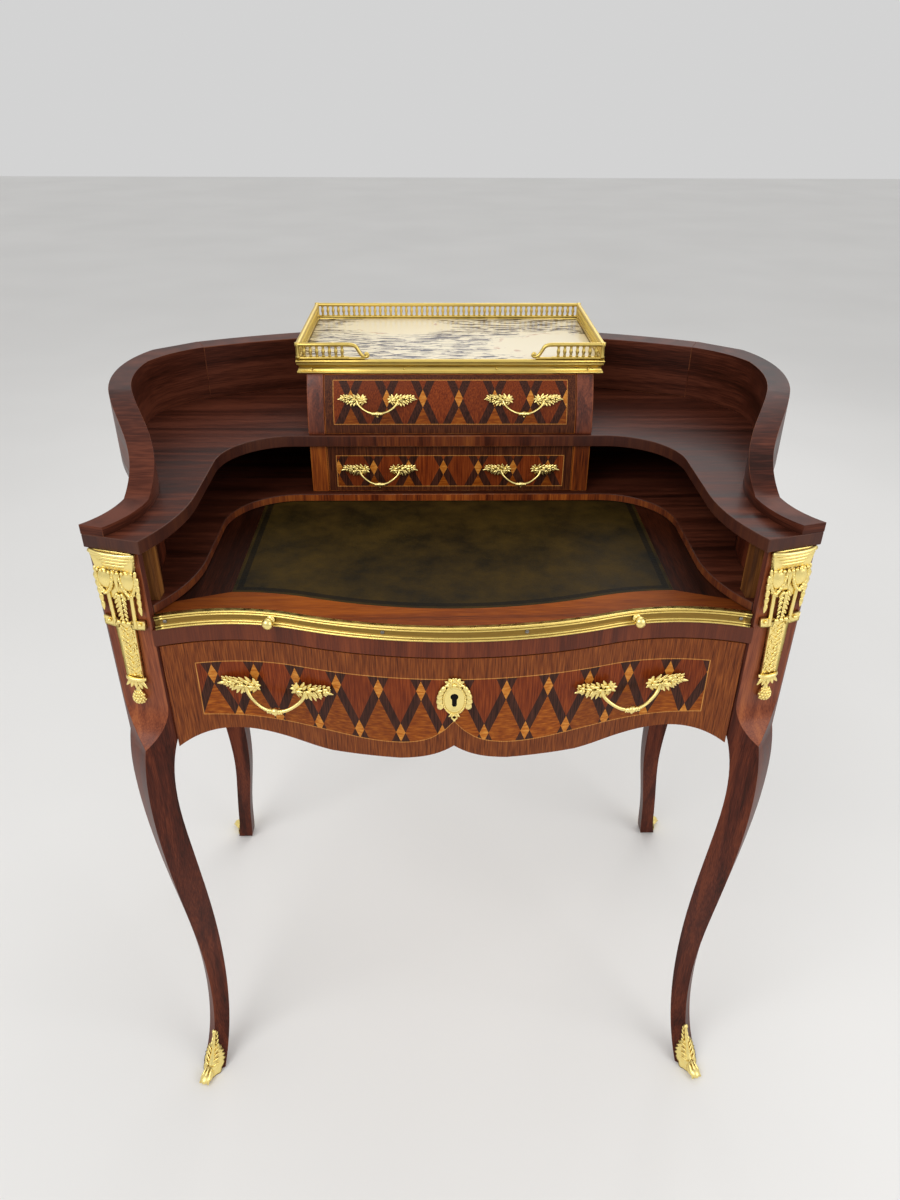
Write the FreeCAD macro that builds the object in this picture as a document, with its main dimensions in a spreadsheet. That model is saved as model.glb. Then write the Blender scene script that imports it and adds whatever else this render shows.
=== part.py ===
"""Ladies' writing desk: serpentine drawer, pull-out slide and a small cabinet inside a swept rim.

X runs to the right, Y to the back and Z up. The origin is the middle of the desk on the floor.
"""

import FreeCAD
import Part
import Sketcher
import math
import os

# Driving dimensions in millimetres, turns in degrees
SIZES = {
    # overall
    "desk_width": 806,
    "desk_depth": 565,
    "slide_height": 745,
    "running_gap": 0.5,
    "seat_gap": 0.3,
    # stack of levels, from the slide up and down
    "slide_thickness": 16,
    "rail_height": 19,
    "rail_depth": 34,
    "rail_housing": 4,
    "drawer_reveal": 1.5,
    "frieze_height": 130,
    "inner_top_thickness": 9.5,
    "pigeonhole_height": 61,
    "shelf_thickness": 14,
    "rim_height": 68,
    "moulding_height": 17,
    "fence_height": 20,
    # serpentine front
    "bow_lead": 38,
    "front_bow": 35,
    "hollow_inset": 70.6,
    "hollow_radius": 230,
    "front_setback": 2,
    # legs
    "front_leg_inset": 74,
    "front_leg_turn": 16,
    "rear_leg_inset": 41,
    "rear_leg_setback": 94.5,
    "rear_leg_turn": 45,
    "rear_foot_lean": 11,
    "rear_shin_lean": -18,
    "rear_knee_share": 0.6,
    "toe_reach": 54,
    "post_rise": 10,
    "post_side": 41.5,
    "post_flank": 2.5,
    "post_arris": 10,
    "post_housing": 18,
    "cant_lead": 3.4,
    "cant_rise": 56,
    "cant_runout": 54,
    "foot_lean": 20,
    "foot_side": 24,
    "pastern_height": 52,
    "pastern_lean": -8,
    "pastern_side": 21.5,
    "ankle_height": 120,
    "ankle_lean": -21,
    "ankle_side": 22.5,
    "shin_height": 205,
    "shin_lean": -22,
    "shin_side": 26,
    "calf_height": 330,
    "calf_lean": -8,
    "calf_side": 33.5,
    "calf_arris": 2.4,
    "thigh_height": 440,
    "thigh_lean": 7,
    "thigh_side": 35,
    "thigh_arris": 4.5,
    "knee_drop": 63,
    "knee_lean": 12,
    "knee_side": 35.5,
    "knee_arris": 7,
    # sides and back
    "horn_inset": 47,
    "waist_inset": 71,
    "waist_behind": 92,
    "flank_inset": 26,
    "swell_ahead": 115,
    "corner_out": 22,
    "corner_ahead": 23,
    "back_corner_in": 27,
    "back_corner_behind": 17.5,
    "panel_setback": 4,
    "panel_thickness": 16,
    "back_thickness": 14,
    "panel_lift": 12,
    "bearer_width": 30,
    "runner_height": 14,
    "dust_thickness": 6,
    # bay in front of the cabinet
    "bay_inset": 135,
    "bay_corner": 80,
    "bay_straight": 90,
    "horn_point_inset": 0.6,
    "horn_point_lead": 17,
    "inner_point_lead": 8,
    "shelf_lip": 5,
    "inner_lip": 4,
    # rim
    "rim_wall": 25,
    "rim_back_wall": 32,
    "rim_horn_height": 10,
    "rim_low_behind": 58,
    "rim_step_behind": 122,
    "rim_step_height": 40,
    "rim_shoulder_behind": 165,
    "rim_shoulder_height": 55,
    "rim_crest_behind": 290,
    # small cabinet
    "cabinet_half": 172,
    "cabinet_depth": 246,
    "pilaster_width": 20,
    "cabinet_lean": 22,
    "small_front": 14,
    "small_side": 8,
    "small_bottom": 5,
    "upper_back_room": 33,
    "lower_back_room": 27,
    "upper_side_drop": 14,
    "lower_side_drop": 6,
    # marble and gallery
    "gallery_overhang": 12,
    "gallery_lead": 2.5,
    "gallery_depth": 214,
    "moulding_wall": 5,
    "top_board": 6,
    "marble_thickness": 10,
    "fence_wall": 2.5,
    "fence_return": 95,
    "fence_scroll": 22,
    "slot_pitch": 8,
    "slot_width": 4.5,
    "slot_height": 11,
    "slot_foot": 4,
    # writing slide
    "slide_back_room": 4,
    "brass_edge": 6,
    "leather_side_border": 68,
    "leather_front_border": 38,
    "leather_back_border": 8,
    "leather_thickness": 1,
    "pull_x": 184,
    "pull_radius": 6,
    "pull_chamfer": 2,
    "pull_reach": 13,
    "pull_shank": 2,
    "pull_shank_length": 16,
    # long drawer
    "frieze_front": 20,
    "frieze_side": 10,
    "frieze_side_height": 88,
    "frieze_back_room": 17,
    "frieze_bottom": 6,
    "apron_cusp": 19,
    "apron_lobe": 57,
    "apron_flat": 17,
    "apron_flat_inset": 45,
    # handles, escutcheon and lock
    "frieze_handle_x": 184,
    "frieze_handle_span": 106,
    "frieze_handle_drop": 50,
    "small_handle_x": 87.5,
    "upper_handle_rise": 7,
    "small_handle_span": 76,
    "bail_radius": 3,
    "frieze_bail_sag": 20,
    "small_bail_sag": 14,
    "bail_stand": 14,
    "boss_radius": 8,
    "knop_radius": 6,
    "nut_radius": 7,
    "nut_thickness": 3,
    "escutcheon_width": 35,
    "escutcheon_height": 56,
    "escutcheon_thickness": 2.5,
    "escutcheon_drop": 50,
    "keyhole_radius": 2.2,
    "lock_width": 50,
    "lock_height": 62,
    "lock_depth": 9,
    "lock_drop": 4,
    "bolt_width": 14,
    "bolt_thickness": 4,
    "bolt_height": 22,
    "bolt_throw": 8,
    # gilt mounts on the legs
    "chute_height": 180,
    "chute_top_width": 48,
    "chute_foot_width": 22,
    "chute_thickness": 11,
    "sabot_height": 58,
    "sabot_floor": 3,
    "sabot_toe_height": 9,
    "sabot_top_side": 26,
    "sabot_margin": 10,
    "sabot_toe_round": 2,
    "sabot_waist": 5,
    # small blocks
    "block_side": 18,
    "block_behind": 2,
    "stop_width": 16,
    "stop_depth": 6,
    "stop_height": 12,
}

doc = FreeCAD.newDocument("writing_desk")
sheet = doc.addObject("Spreadsheet::Sheet", "Sizes")
for row, (alias, number) in enumerate(SIZES.items(), start=1):
    sheet.set("A%d" % row, str(number))
    sheet.setAlias("A%d" % row, alias)
doc.recompute()

sub_parts = []


class Size:
    """A size that is known both as a number and as an expression on the sheet."""

    def __init__(self, number, text):
        self.number = float(number)
        self.text = text

    def __float__(self):
        return self.number

    def joined(self, other, number, sign):
        return Size(number, "(%s %s %s)" % (self.text, sign, as_size(other).text))

    def __add__(self, other):
        return self.joined(other, self.number + float(other), "+")

    def __sub__(self, other):
        return self.joined(other, self.number - float(other), "-")

    def __mul__(self, other):
        return self.joined(other, self.number * float(other), "*")

    def __truediv__(self, other):
        return self.joined(other, self.number / float(other), "/")

    def __radd__(self, other):
        return as_size(other) + self

    def __rsub__(self, other):
        return as_size(other) - self

    def __rmul__(self, other):
        return as_size(other) * self

    def __neg__(self):
        return Size(-self.number, "(0 - %s)" % self.text)


def as_size(value):
    """Turn a plain number into a Size; a Size stays as it is."""
    if isinstance(value, Size):
        return value
    return Size(value, "(%.9f)" % value)


def size(alias):
    """Read one driving dimension from the sheet."""
    return Size(sheet.get(alias), "Sizes." + alias)


def bind(item, name, value):
    """Tie one property of an object to the sheet."""
    item.setExpression(name, as_size(value).text)


def vector(x, y, z=0):
    return FreeCAD.Vector(float(x), float(y), float(z))


def keep(item):
    """Note an object as a finished sub-part."""
    sub_parts.append(item)
    return item


def place(item, x=0, y=0, z=0, turn=0, axis=(0, 0, 1)):
    """Bind an object's place, and its turn about one axis."""
    item.Placement = FreeCAD.Placement(vector(x, y, z), FreeCAD.Rotation(vector(*axis), float(turn)))
    for name, value in (("x", x), ("y", y), ("z", z)):
        bind(item, "Placement.Base." + name, value)
    if float(turn) != 0:
        bind(item, "Placement.Rotation.Angle", turn)
    return item


def box(label, x, y, z, length, width, height):
    item = doc.addObject("Part::Box", label)
    for name, value in (("Length", length), ("Width", width), ("Height", height)):
        bind(item, name, value)
    return place(item, x, y, z)


def cylinder(label, radius, height):
    item = doc.addObject("Part::Cylinder", label)
    bind(item, "Radius", radius)
    bind(item, "Height", height)
    return item


def ball(label, radius):
    item = doc.addObject("Part::Sphere", label)
    bind(item, "Radius", radius)
    return item


def fuse(label, pieces):
    item = doc.addObject("Part::MultiFuse", label)
    item.Shapes = pieces
    return item


def group(label, pieces):
    """Several separate solids that share one node."""
    item = doc.addObject("Part::Compound", label)
    item.Links = pieces
    return item


def fitted(label, blank, neighbours):
    """Cut a blank to the neighbours that it is scribed to."""
    tool = neighbours[0]
    if len(neighbours) > 1:
        tool = fuse(label + "_scribe", neighbours)
    item = doc.addObject("Part::Cut", label)
    item.Base = blank
    item.Tool = tool
    return item


def new_body(label):
    return doc.addObject("PartDesign::Body", label)


def new_sketch(body, name, role, lift=0):
    """An empty sketch on one of the body's own planes, lifted off it."""
    plane = [item for item in body.Origin.OriginFeatures if item.Role == role][0]
    sketch = body.newObject("Sketcher::SketchObject", body.Name + "_" + name)
    sketch.AttachmentSupport = [(plane, "")]
    sketch.MapMode = "FlatFace"
    sketch.AttachmentOffset = FreeCAD.Placement(vector(0, 0, lift), FreeCAD.Rotation())
    bind(sketch, "AttachmentOffset.Base.z", lift)
    return sketch


def outline(body, name, role, edges):
    """A sketch that holds a closed run of lines and curves."""
    sketch = new_sketch(body, name, role)
    for edge in edges:
        sketch.addGeometry(edge, False)
    return sketch


def polygon(body, name, role, points, lift=0):
    """A sketch of a straight-sided shape with every corner tied to the sheet."""
    sketch = new_sketch(body, name, role, lift)
    count = len(points)
    for index in range(count):
        start = vector(*points[index])
        end = vector(*points[(index + 1) % count])
        sketch.addGeometry(Part.LineSegment(start, end), False)
    for index, corner in enumerate(points):
        sketch.addConstraint(Sketcher.Constraint("Coincident", index, 2, (index + 1) % count, 1))
        for kind, value in zip(("DistanceX", "DistanceY"), corner):
            number = sketch.addConstraint(Sketcher.Constraint(kind, -1, 1, index, 1, float(value)))
            sketch.setExpression("Constraints[%d]" % number, as_size(value).text)
    return sketch


def pad(body, name, sketch, length, side="One side"):
    feature = body.newObject("PartDesign::Pad", body.Name + "_" + name)
    feature.Profile = sketch
    feature.SideType = side
    bind(feature, "Length", length)
    return feature


def pocket(body, name, sketch, length, side="Symmetric"):
    feature = body.newObject("PartDesign::Pocket", body.Name + "_" + name)
    feature.Profile = sketch
    feature.SideType = side
    bind(feature, "Length", length)
    return feature


def loft(body, name, sketches):
    feature = body.newObject("PartDesign::AdditiveLoft", body.Name + "_" + name)
    feature.Profile = sketches[0]
    feature.Sections = sketches[1:]
    return feature


def board(label, edges, bottom, thickness):
    """A flat board or an upright panel, padded up from its plan."""
    body = new_body(label)
    pad(body, "pad", outline(body, "plan", "XY_Plane", edges), thickness)
    return place(body, 0, 0, bottom)


def line(start, end):
    return Part.LineSegment(start, end)


def curve(points):
    item = Part.BSplineCurve()
    item.interpolate(points)
    return item


def mirrored(point):
    return FreeCAD.Vector(-point.x, point.y, point.z)


def on_side(point, side):
    """The point itself on the right side (1), its mirror image on the left (-1)."""
    return point if side > 0 else mirrored(point)


SIDES = (("left", -1), ("right", 1))

# Levels, from the floor up
slide_top = size("slide_height")
slide_bottom = slide_top - size("slide_thickness")
rail_top = slide_bottom - size("running_gap")
rail_bottom = rail_top - size("rail_height")
frieze_top = rail_bottom - size("drawer_reveal")
frieze_foot = frieze_top - size("frieze_height")
panel_foot = frieze_foot + size("panel_lift")
post_foot = frieze_foot + size("post_rise")
inner_top_bottom = slide_top + size("running_gap")
inner_top_level = inner_top_bottom + size("inner_top_thickness")
shelf_bottom = inner_top_level + size("pigeonhole_height")
shelf_level = shelf_bottom + size("shelf_thickness")
rim_crest = shelf_level + size("rim_height")
moulding_top = rim_crest + size("moulding_height")

# Plan, from the middle out
half_width = size("desk_width") / 2
front_turn = math.radians(float(size("front_leg_turn")))
front_leg_x = half_width - size("front_leg_inset")
front_leg_y = size("toe_reach") * math.cos(front_turn) - size("desk_depth") / 2
back_y = size("desk_depth") / 2
rear_leg_x = half_width - size("rear_leg_inset")
rear_leg_y = back_y - size("rear_leg_setback")
post_half = size("post_side") / math.sqrt(2)
post_inner_x = front_leg_x - (post_half + size("post_flank")) * math.cos(front_turn)
drawer_half = post_inner_x - size("running_gap")
hollow_x = post_inner_x - size("hollow_inset")
bow_y = front_leg_y - size("bow_lead")
cabinet_front = back_y - size("cabinet_depth")
cabinet_inner = size("cabinet_half") - size("pilaster_width")
bay_half = half_width - size("bay_inset")


# Serpentine front: a bow between two hollows, as three tangent arcs


def front_arcs_radii(inset):
    """Radii of the bow and of a hollow for the front line moved back by inset."""
    bow = float(size("front_bow"))
    both = (float(hollow_x) ** 2 + bow ** 2) / (2 * bow)
    hollow = float(size("hollow_radius"))
    return both - hollow - inset, hollow + inset


def front_y(x, inset):
    """Y of the front line moved back by inset, at a distance x from the middle."""
    bow_radius, hollow = front_arcs_radii(inset)
    bow_centre = float(bow_y) + bow_radius + inset
    hollow_centre = float(bow_y) + float(size("front_bow")) + inset - hollow
    reach = abs(float(x))
    if reach <= join_x(inset):
        return bow_centre - math.sqrt(bow_radius ** 2 - reach ** 2)
    return hollow_centre + math.sqrt(hollow ** 2 - (reach - float(hollow_x)) ** 2)


def join_x(inset):
    """Distance from the middle at which the bow turns into the hollow."""
    bow_radius, hollow = front_arcs_radii(inset)
    return float(hollow_x) * bow_radius / (bow_radius + hollow)


def front_slope(x, inset):
    """Turn of the front line at x, in degrees."""
    step = 0.01
    rise = front_y(float(x) + step, inset) - front_y(float(x) - step, inset)
    return math.degrees(math.atan2(rise, 2 * step))


def front_line(half, inset):
    """The three arcs of the front from left to right, cut off at half on both sides."""
    half = float(half)
    turn = join_x(inset)
    stations = [-half, -(half + turn) / 2, -turn, 0, turn, (half + turn) / 2, half]
    points = [vector(x, front_y(x, inset)) for x in stations]
    return [Part.Arc(*points[start:start + 3]) for start in (0, 2, 4)]


def front_band(half, inset, thickness):
    """Plan of a strip that follows the serpentine front."""
    half = float(half)
    inset = float(inset)
    behind = inset + float(thickness)
    ends = [
        line(vector(x, front_y(x, inset)), vector(x, front_y(x, behind)))
        for x in (-half, half)
    ]
    return front_line(half, inset) + front_line(half, behind) + ends


def front_board(half, inset, rear_y):
    """Plan of a board with a serpentine front and a straight back."""
    half = float(half)
    inset = float(inset)
    corners = [
        vector(half, front_y(half, inset)),
        vector(half, rear_y),
        vector(-half, rear_y),
        vector(-half, front_y(half, inset)),
    ]
    return front_line(half, inset) + [line(a, b) for a, b in zip(corners, corners[1:])]


# Sides and back of the carcass


def side_line():
    """The right side in plan: horn, waist, flank, swell and rear corner."""
    waist_y = front_leg_y + size("waist_behind")
    swell_y = rear_leg_y - size("swell_ahead")
    return curve([
        vector(half_width - size("horn_inset"), front_leg_y),
        vector(half_width - size("waist_inset"), waist_y),
        vector(half_width - size("flank_inset"), (waist_y + swell_y) / 2),
        vector(half_width, swell_y),
        vector(rear_leg_x + size("corner_out"), rear_leg_y - size("corner_ahead")),
    ])


SIDE_STATIONS = 9
# Shares of the side line that lie hidden in the front leg, for the panel and for the inner top
PANEL_START = 0.07
INNER_TOP_START = 0.04


def side_points(inset, first=0.0):
    """Points along the right side moved inwards by inset, from a share of its length on."""
    base = side_line()
    points = []
    for index in range(SIDE_STATIONS):
        share = first + (1 - first) * index / (SIDE_STATIONS - 1)
        at = base.FirstParameter + (base.LastParameter - base.FirstParameter) * share
        along = base.tangent(at)[0]
        points.append(base.value(at) + FreeCAD.Vector(-along.y, along.x, 0) * float(inset))
    return points


def side_curve(points, side):
    return curve([on_side(point, side) for point in points])


back_corner = vector(rear_leg_x - size("back_corner_in"), rear_leg_y + size("back_corner_behind"))
back_sag = float(back_y) - back_corner.y
back_radius = (back_corner.x ** 2 + back_sag ** 2) / (2 * back_sag)
back_centre = float(back_y) - back_radius


def back_point(x, inset):
    """A point on the bowed back moved forwards by inset."""
    return vector(x, back_centre + math.sqrt((back_radius - float(inset)) ** 2 - float(x) ** 2))


def back_arc(x, inset):
    return Part.Arc(back_point(-x, inset), back_point(0, inset), back_point(x, inset))


def bay_line(lip, point_y):
    """U-shaped front edge of the shelf or of the inner top, from the left horn to the right."""
    inner = float(bay_half) - lip / 2
    rear = float(cabinet_front - size("shelf_lip")) - lip
    corner = float(size("bay_corner"))
    straight = float(front_leg_y + size("bay_straight"))
    tip = vector(post_inner_x - size("horn_point_inset"), point_y)
    across = tip.x - inner
    along = straight - tip.y
    radius = (across ** 2 + along ** 2) / (2 * across)
    half_turn = math.asin(along / radius) / 2
    horn_middle = vector(
        inner + radius - radius * math.cos(half_turn), straight - radius * math.sin(half_turn)
    )
    bend = corner * (1 - math.sqrt(0.5))
    start = vector(inner, straight)
    corner_start = vector(inner, rear - corner)
    corner_middle = vector(inner - bend, rear - bend)
    corner_end = vector(inner - corner, rear)
    edges = [line(mirrored(corner_end), corner_end)]
    for side in (-1, 1):
        edges.append(Part.Arc(*[on_side(p, side) for p in (tip, horn_middle, start)]))
        edges.append(line(on_side(start, side), on_side(corner_start, side)))
        edges.append(Part.Arc(*[on_side(p, side) for p in (corner_start, corner_middle, corner_end)]))
    return edges, tip


# Legs


def diamond(body, name, height, lean, half, flank=0, arris=0):
    """A square leg section, corner outwards, leaning out from the leg's axis.

    Its flanks and back may stand off the axis to one side, and its outer arris by more.
    """
    corners = [(lean + half, arris), (lean, flank + half), (lean - half, flank), (lean, flank - half)]
    return polygon(body, name, "XY_Plane", corners, height)


def leg_lean(name, hand):
    """How far a section leans out; a rear leg is straight from foot to shin and flatter above."""
    if hand:
        return size(name + "_lean")
    if name in SET_OFF:
        return size(name + "_lean") * size("rear_knee_share")
    rise = (leg_levels[name] - leg_levels["foot"]) / (leg_levels["shin"] - leg_levels["foot"])
    return size("rear_foot_lean") + (size("rear_shin_lean") - size("rear_foot_lean")) * rise


def make_leg(label, x, y, turn, hand):
    """A cabriole leg with its post, canted at the outer corner; its own X points outwards.

    On a front leg hand is 1 or -1, the side on which the middle of the desk lies, and the arris is set
    off to that side; on a rear leg it is 0.
    """
    body = new_body(label)
    sections = []
    for name, height in leg_levels.items():
        arris = hand * size(name + "_arris") if name in SET_OFF else 0
        half = size(name + "_side") / math.sqrt(2)
        sections.append(diamond(body, name, height, leg_lean(name, hand), half, 0, arris))
    flank, arris = hand * size("post_flank"), hand * size("post_arris")
    top_section = diamond(body, "post", post_foot, as_size(0), post_half, flank, arris)
    loft(body, "cabriole", sections + [top_section])
    pad(body, "upright", top_section, shelf_bottom - post_foot)
    cant = float(size("cant_lead"))
    runout = float(size("cant_runout"))
    start = float(frieze_foot + size("cant_rise"))
    top = float(shelf_bottom + size("running_gap"))
    bend = runout * (1 - math.sqrt(0.5))
    corners = [
        vector(cant, start),
        vector(cant, top),
        vector(cant + runout, top),
        vector(cant + runout, start - runout),
    ]
    edges = [line(a, b) for a, b in zip(corners, corners[1:])]
    edges.append(Part.Arc(corners[3], vector(cant + bend, start - runout + bend), corners[0]))
    pocket(body, "cant", outline(body, "cant_profile", "XZ_Plane", edges), size("post_side") * 3)
    return place(body, x, y, 0, turn)


# Levels of the leg sections below the post, and those whose arris is set off on a front leg
leg_levels = {"foot": size("sabot_floor")}
for station in ("pastern", "ankle", "shin", "calf", "thigh"):
    leg_levels[station] = size(station + "_height")
leg_levels["knee"] = post_foot - size("knee_drop")
SET_OFF = ("calf", "thigh", "knee")

leg_spots = {
    "front_left": (-front_leg_x, front_leg_y, -90 - size("front_leg_turn")),
    "front_right": (front_leg_x, front_leg_y, size("front_leg_turn") - 90),
    "rear_left": (-rear_leg_x, rear_leg_y, 180 - size("rear_leg_turn")),
    "rear_right": (rear_leg_x, rear_leg_y, size("rear_leg_turn")),
}
leg_hands = {"front_left": 1, "front_right": -1, "rear_left": 0, "rear_right": 0}
legs = {}
for leg_name, spot in leg_spots.items():
    legs[leg_name] = keep(make_leg("leg_" + leg_name, *spot, leg_hands[leg_name]))


def make_sabot(name):
    """Gilt shoe: a cup that the foot stands in, with its toe drawn out."""
    blank = new_body("sabot_%s_blank" % name)
    foot_lean = leg_lean("foot", leg_hands[name])
    pastern_lean = leg_lean("pastern", leg_hands[name])
    reach = size("toe_reach") - size("foot_lean") + foot_lean
    sole = size("foot_side") / math.sqrt(2) + size("sabot_margin")
    toe = size("sabot_toe_round")
    top_half = size("sabot_top_side") / math.sqrt(2)
    middle = size("sabot_height") / 2
    vamp_lean = (foot_lean + pastern_lean) / 2
    sections = [
        diamond(blank, "sole", as_size(0), reach - sole, sole),
        diamond(blank, "toe", size("sabot_toe_height"), reach - sole - toe, sole - toe / 4),
        diamond(blank, "vamp", middle, vamp_lean, sole - size("sabot_waist")),
        diamond(blank, "cuff", size("sabot_height"), pastern_lean, top_half),
    ]
    loft(blank, "shoe", sections)
    place(blank, leg_spots[name][0], leg_spots[name][1], 0, leg_spots[name][2])
    return fitted("sabot_" + name, blank, [legs[name]])


for leg_name in leg_spots:
    keep(make_sabot(leg_name))


def make_chute(name):
    """Gilt mount on the canted corner, tapering down from its cap."""
    body = new_body("chute_" + name)
    top = shelf_bottom - size("seat_gap")
    foot = top - size("chute_height")
    cap = top - size("chute_height") / 5
    wide = size("chute_top_width") / 2
    narrow = size("chute_foot_width") / 2
    corners = [(-narrow, foot), (narrow, foot), (wide, cap), (wide, top), (-wide, top), (-wide, cap)]
    sketch = polygon(body, "face", "YZ_Plane", corners, size("cant_lead"))
    pad(body, "cast", sketch, size("chute_thickness"))
    return place(body, *leg_spots["front_" + name][:2], 0, leg_spots["front_" + name][2])


for side_name, _ in SIDES:
    keep(make_chute(side_name))


# Carcass panels, rails and runners


def make_side_panel(name, side):
    """Curved side between the front and rear legs of one side."""
    outer = side_points(size("panel_setback"), PANEL_START)
    inner = side_points(size("panel_setback") + size("panel_thickness"), PANEL_START)
    rear = float(rear_leg_y - size("post_housing"))
    outer_end = vector(outer[-1].x, rear)
    inner_end = vector(inner[-1].x, rear)
    runs = [(outer[-1], outer_end), (outer_end, inner_end), (inner_end, inner[-1]), (inner[0], outer[0])]
    edges = [side_curve(outer, side), side_curve(inner, side)]
    edges += [line(on_side(a, side), on_side(b, side)) for a, b in runs]
    blank = board("side_panel_%s_blank" % name, edges, panel_foot, shelf_bottom - panel_foot)
    return fitted("side_panel_" + name, blank, [legs["front_" + name], legs["rear_" + name]])


side_panels = {name: keep(make_side_panel(name, side)) for name, side in SIDES}


def make_back_panel():
    """Bowed back between the rear legs."""
    outer = size("panel_setback")
    inner = outer + size("back_thickness")
    half = float(rear_leg_x - size("post_housing"))
    edges = [back_arc(half, outer), back_arc(half, inner)]
    edges += [line(back_point(x, outer), back_point(x, inner)) for x in (-half, half)]
    blank = board("back_panel_blank", edges, panel_foot, shelf_bottom - panel_foot)
    return fitted("back_panel", blank, [legs["rear_left"], legs["rear_right"]])


back_panel = keep(make_back_panel())
front_legs = [legs["front_left"], legs["front_right"]]
frame = list(legs.values()) + [back_panel]

# Y of the back face of the long drawer's front at the middle, where the lock is fixed
lock_face = bow_y + size("front_setback") + size("frieze_front")
bolt_y = lock_face + (size("lock_depth") - size("bolt_thickness")) / 2


def make_front_rail():
    """Shaped rail over the long drawer, mortised for the lock bolt."""
    edges = front_band(post_inner_x + size("rail_housing"), size("front_setback"), size("rail_depth"))
    blank = board("front_rail_blank", edges, rail_bottom, size("rail_height"))
    gap = size("running_gap")
    mortise = box(
        "bolt_mortise",
        -(size("bolt_width") / 2 + gap),
        bolt_y - gap,
        rail_bottom,
        size("bolt_width") + 2 * gap,
        size("bolt_thickness") + 2 * gap,
        size("bolt_throw") + 2 * gap,
    )
    return fitted("front_rail", blank, front_legs + [mortise])


front_rail = keep(make_front_rail())
waist_x = half_width - size("waist_inset") - size("panel_setback") - size("panel_thickness")
bearer_outer = waist_x - size("seat_gap")
bearer_inner = bearer_outer - size("bearer_width")
bearer_front = bow_y + size("front_bow")
bearer_rear = as_size(back_point(bearer_outer, size("panel_setback") + size("seat_gap")).y)
bearer_length = bearer_rear - bearer_front
slide_half = post_inner_x - size("running_gap")


def make_bearer(name, side):
    """Bearer under the slide with a raised edge that guides it."""
    blank = new_body("bearer_%s_blank" % name)
    guide = slide_half + size("running_gap")
    corners = [
        (side * bearer_inner, rail_bottom),
        (side * bearer_outer, rail_bottom),
        (side * bearer_outer, inner_top_bottom),
        (side * guide, inner_top_bottom),
        (side * guide, rail_top),
        (side * bearer_inner, rail_top),
    ]
    sketch = polygon(blank, "section", "XZ_Plane", corners, -bearer_rear)
    pad(blank, "bar", sketch, bearer_length)
    return fitted("bearer_" + name, blank, frame + [front_rail, side_panels[name]])


def make_runner(name, side):
    """Runner under one side of the long drawer."""
    low = bearer_inner if side > 0 else -bearer_outer
    top = panel_foot + size("runner_height")
    blank = box(
        "runner_%s_blank" % name,
        low,
        bearer_front + size("frieze_front"),
        top - size("runner_height"),
        size("bearer_width"),
        bearer_length - size("frieze_front"),
        size("runner_height"),
    )
    return fitted("runner_" + name, blank, frame + [side_panels[name]])


for side in SIDES:
    keep(make_bearer(*side))
for side in SIDES:
    keep(make_runner(*side))
runner_top = panel_foot + size("runner_height")

back_inset = size("panel_setback") + size("back_thickness") + size("seat_gap")
dust_rear = back_point(bearer_inner, back_inset).y
dust_plan = front_board(bearer_inner, size("front_setback") + size("rail_depth"), dust_rear)
keep(board("dust_board", dust_plan, rail_bottom + size("dust_thickness"), size("dust_thickness")))


def make_inner_top():
    """Floor of the pigeonholes, with the lip that the slide runs under."""
    inset = size("panel_setback") + size("panel_thickness") + size("seat_gap")
    flank = side_points(inset, INNER_TOP_START)
    lip = float(size("inner_lip"))
    edges, tip = bay_line(lip, front_leg_y - size("inner_point_lead"))
    corner = back_point(back_corner.x, back_inset)
    edges.append(back_arc(corner.x, back_inset))
    for side in (-1, 1):
        edges.append(side_curve(flank, side))
        edges.append(line(on_side(tip, side), on_side(flank[0], side)))
        edges.append(line(on_side(flank[-1], side), on_side(corner, side)))
    blank = board("inner_top_blank", edges, inner_top_bottom, size("inner_top_thickness"))
    return fitted("inner_top", blank, list(legs.values()) + list(side_panels.values()))


keep(make_inner_top())


def make_shelf():
    """Upper shelf: a U round the bay, reaching over the legs and panels."""
    rim_line = side_points(as_size(0))
    edges, tip = bay_line(0.0, front_leg_y - size("horn_point_lead"))
    edges.append(back_arc(back_corner.x, 0))
    for side in (-1, 1):
        edges.append(side_curve(rim_line, side))
        edges.append(line(on_side(tip, side), on_side(rim_line[0], side)))
        edges.append(line(on_side(rim_line[-1], side), on_side(back_corner, side)))
    return board("upper_shelf", edges, shelf_bottom, size("shelf_thickness")), tip


shelf, shelf_tip = make_shelf()
keep(shelf)


# Swept rim on the shelf

rim_joint_x = back_corner.x * (1 - float(size("rim_back_wall")) / back_radius)
rim_joint = back_point(rim_joint_x, size("rim_back_wall"))
# Shares that set how round the inner rear corner of the rim is
CORNER_SHARE_X = 0.55
CORNER_SHARE_Y = 0.38


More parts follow.
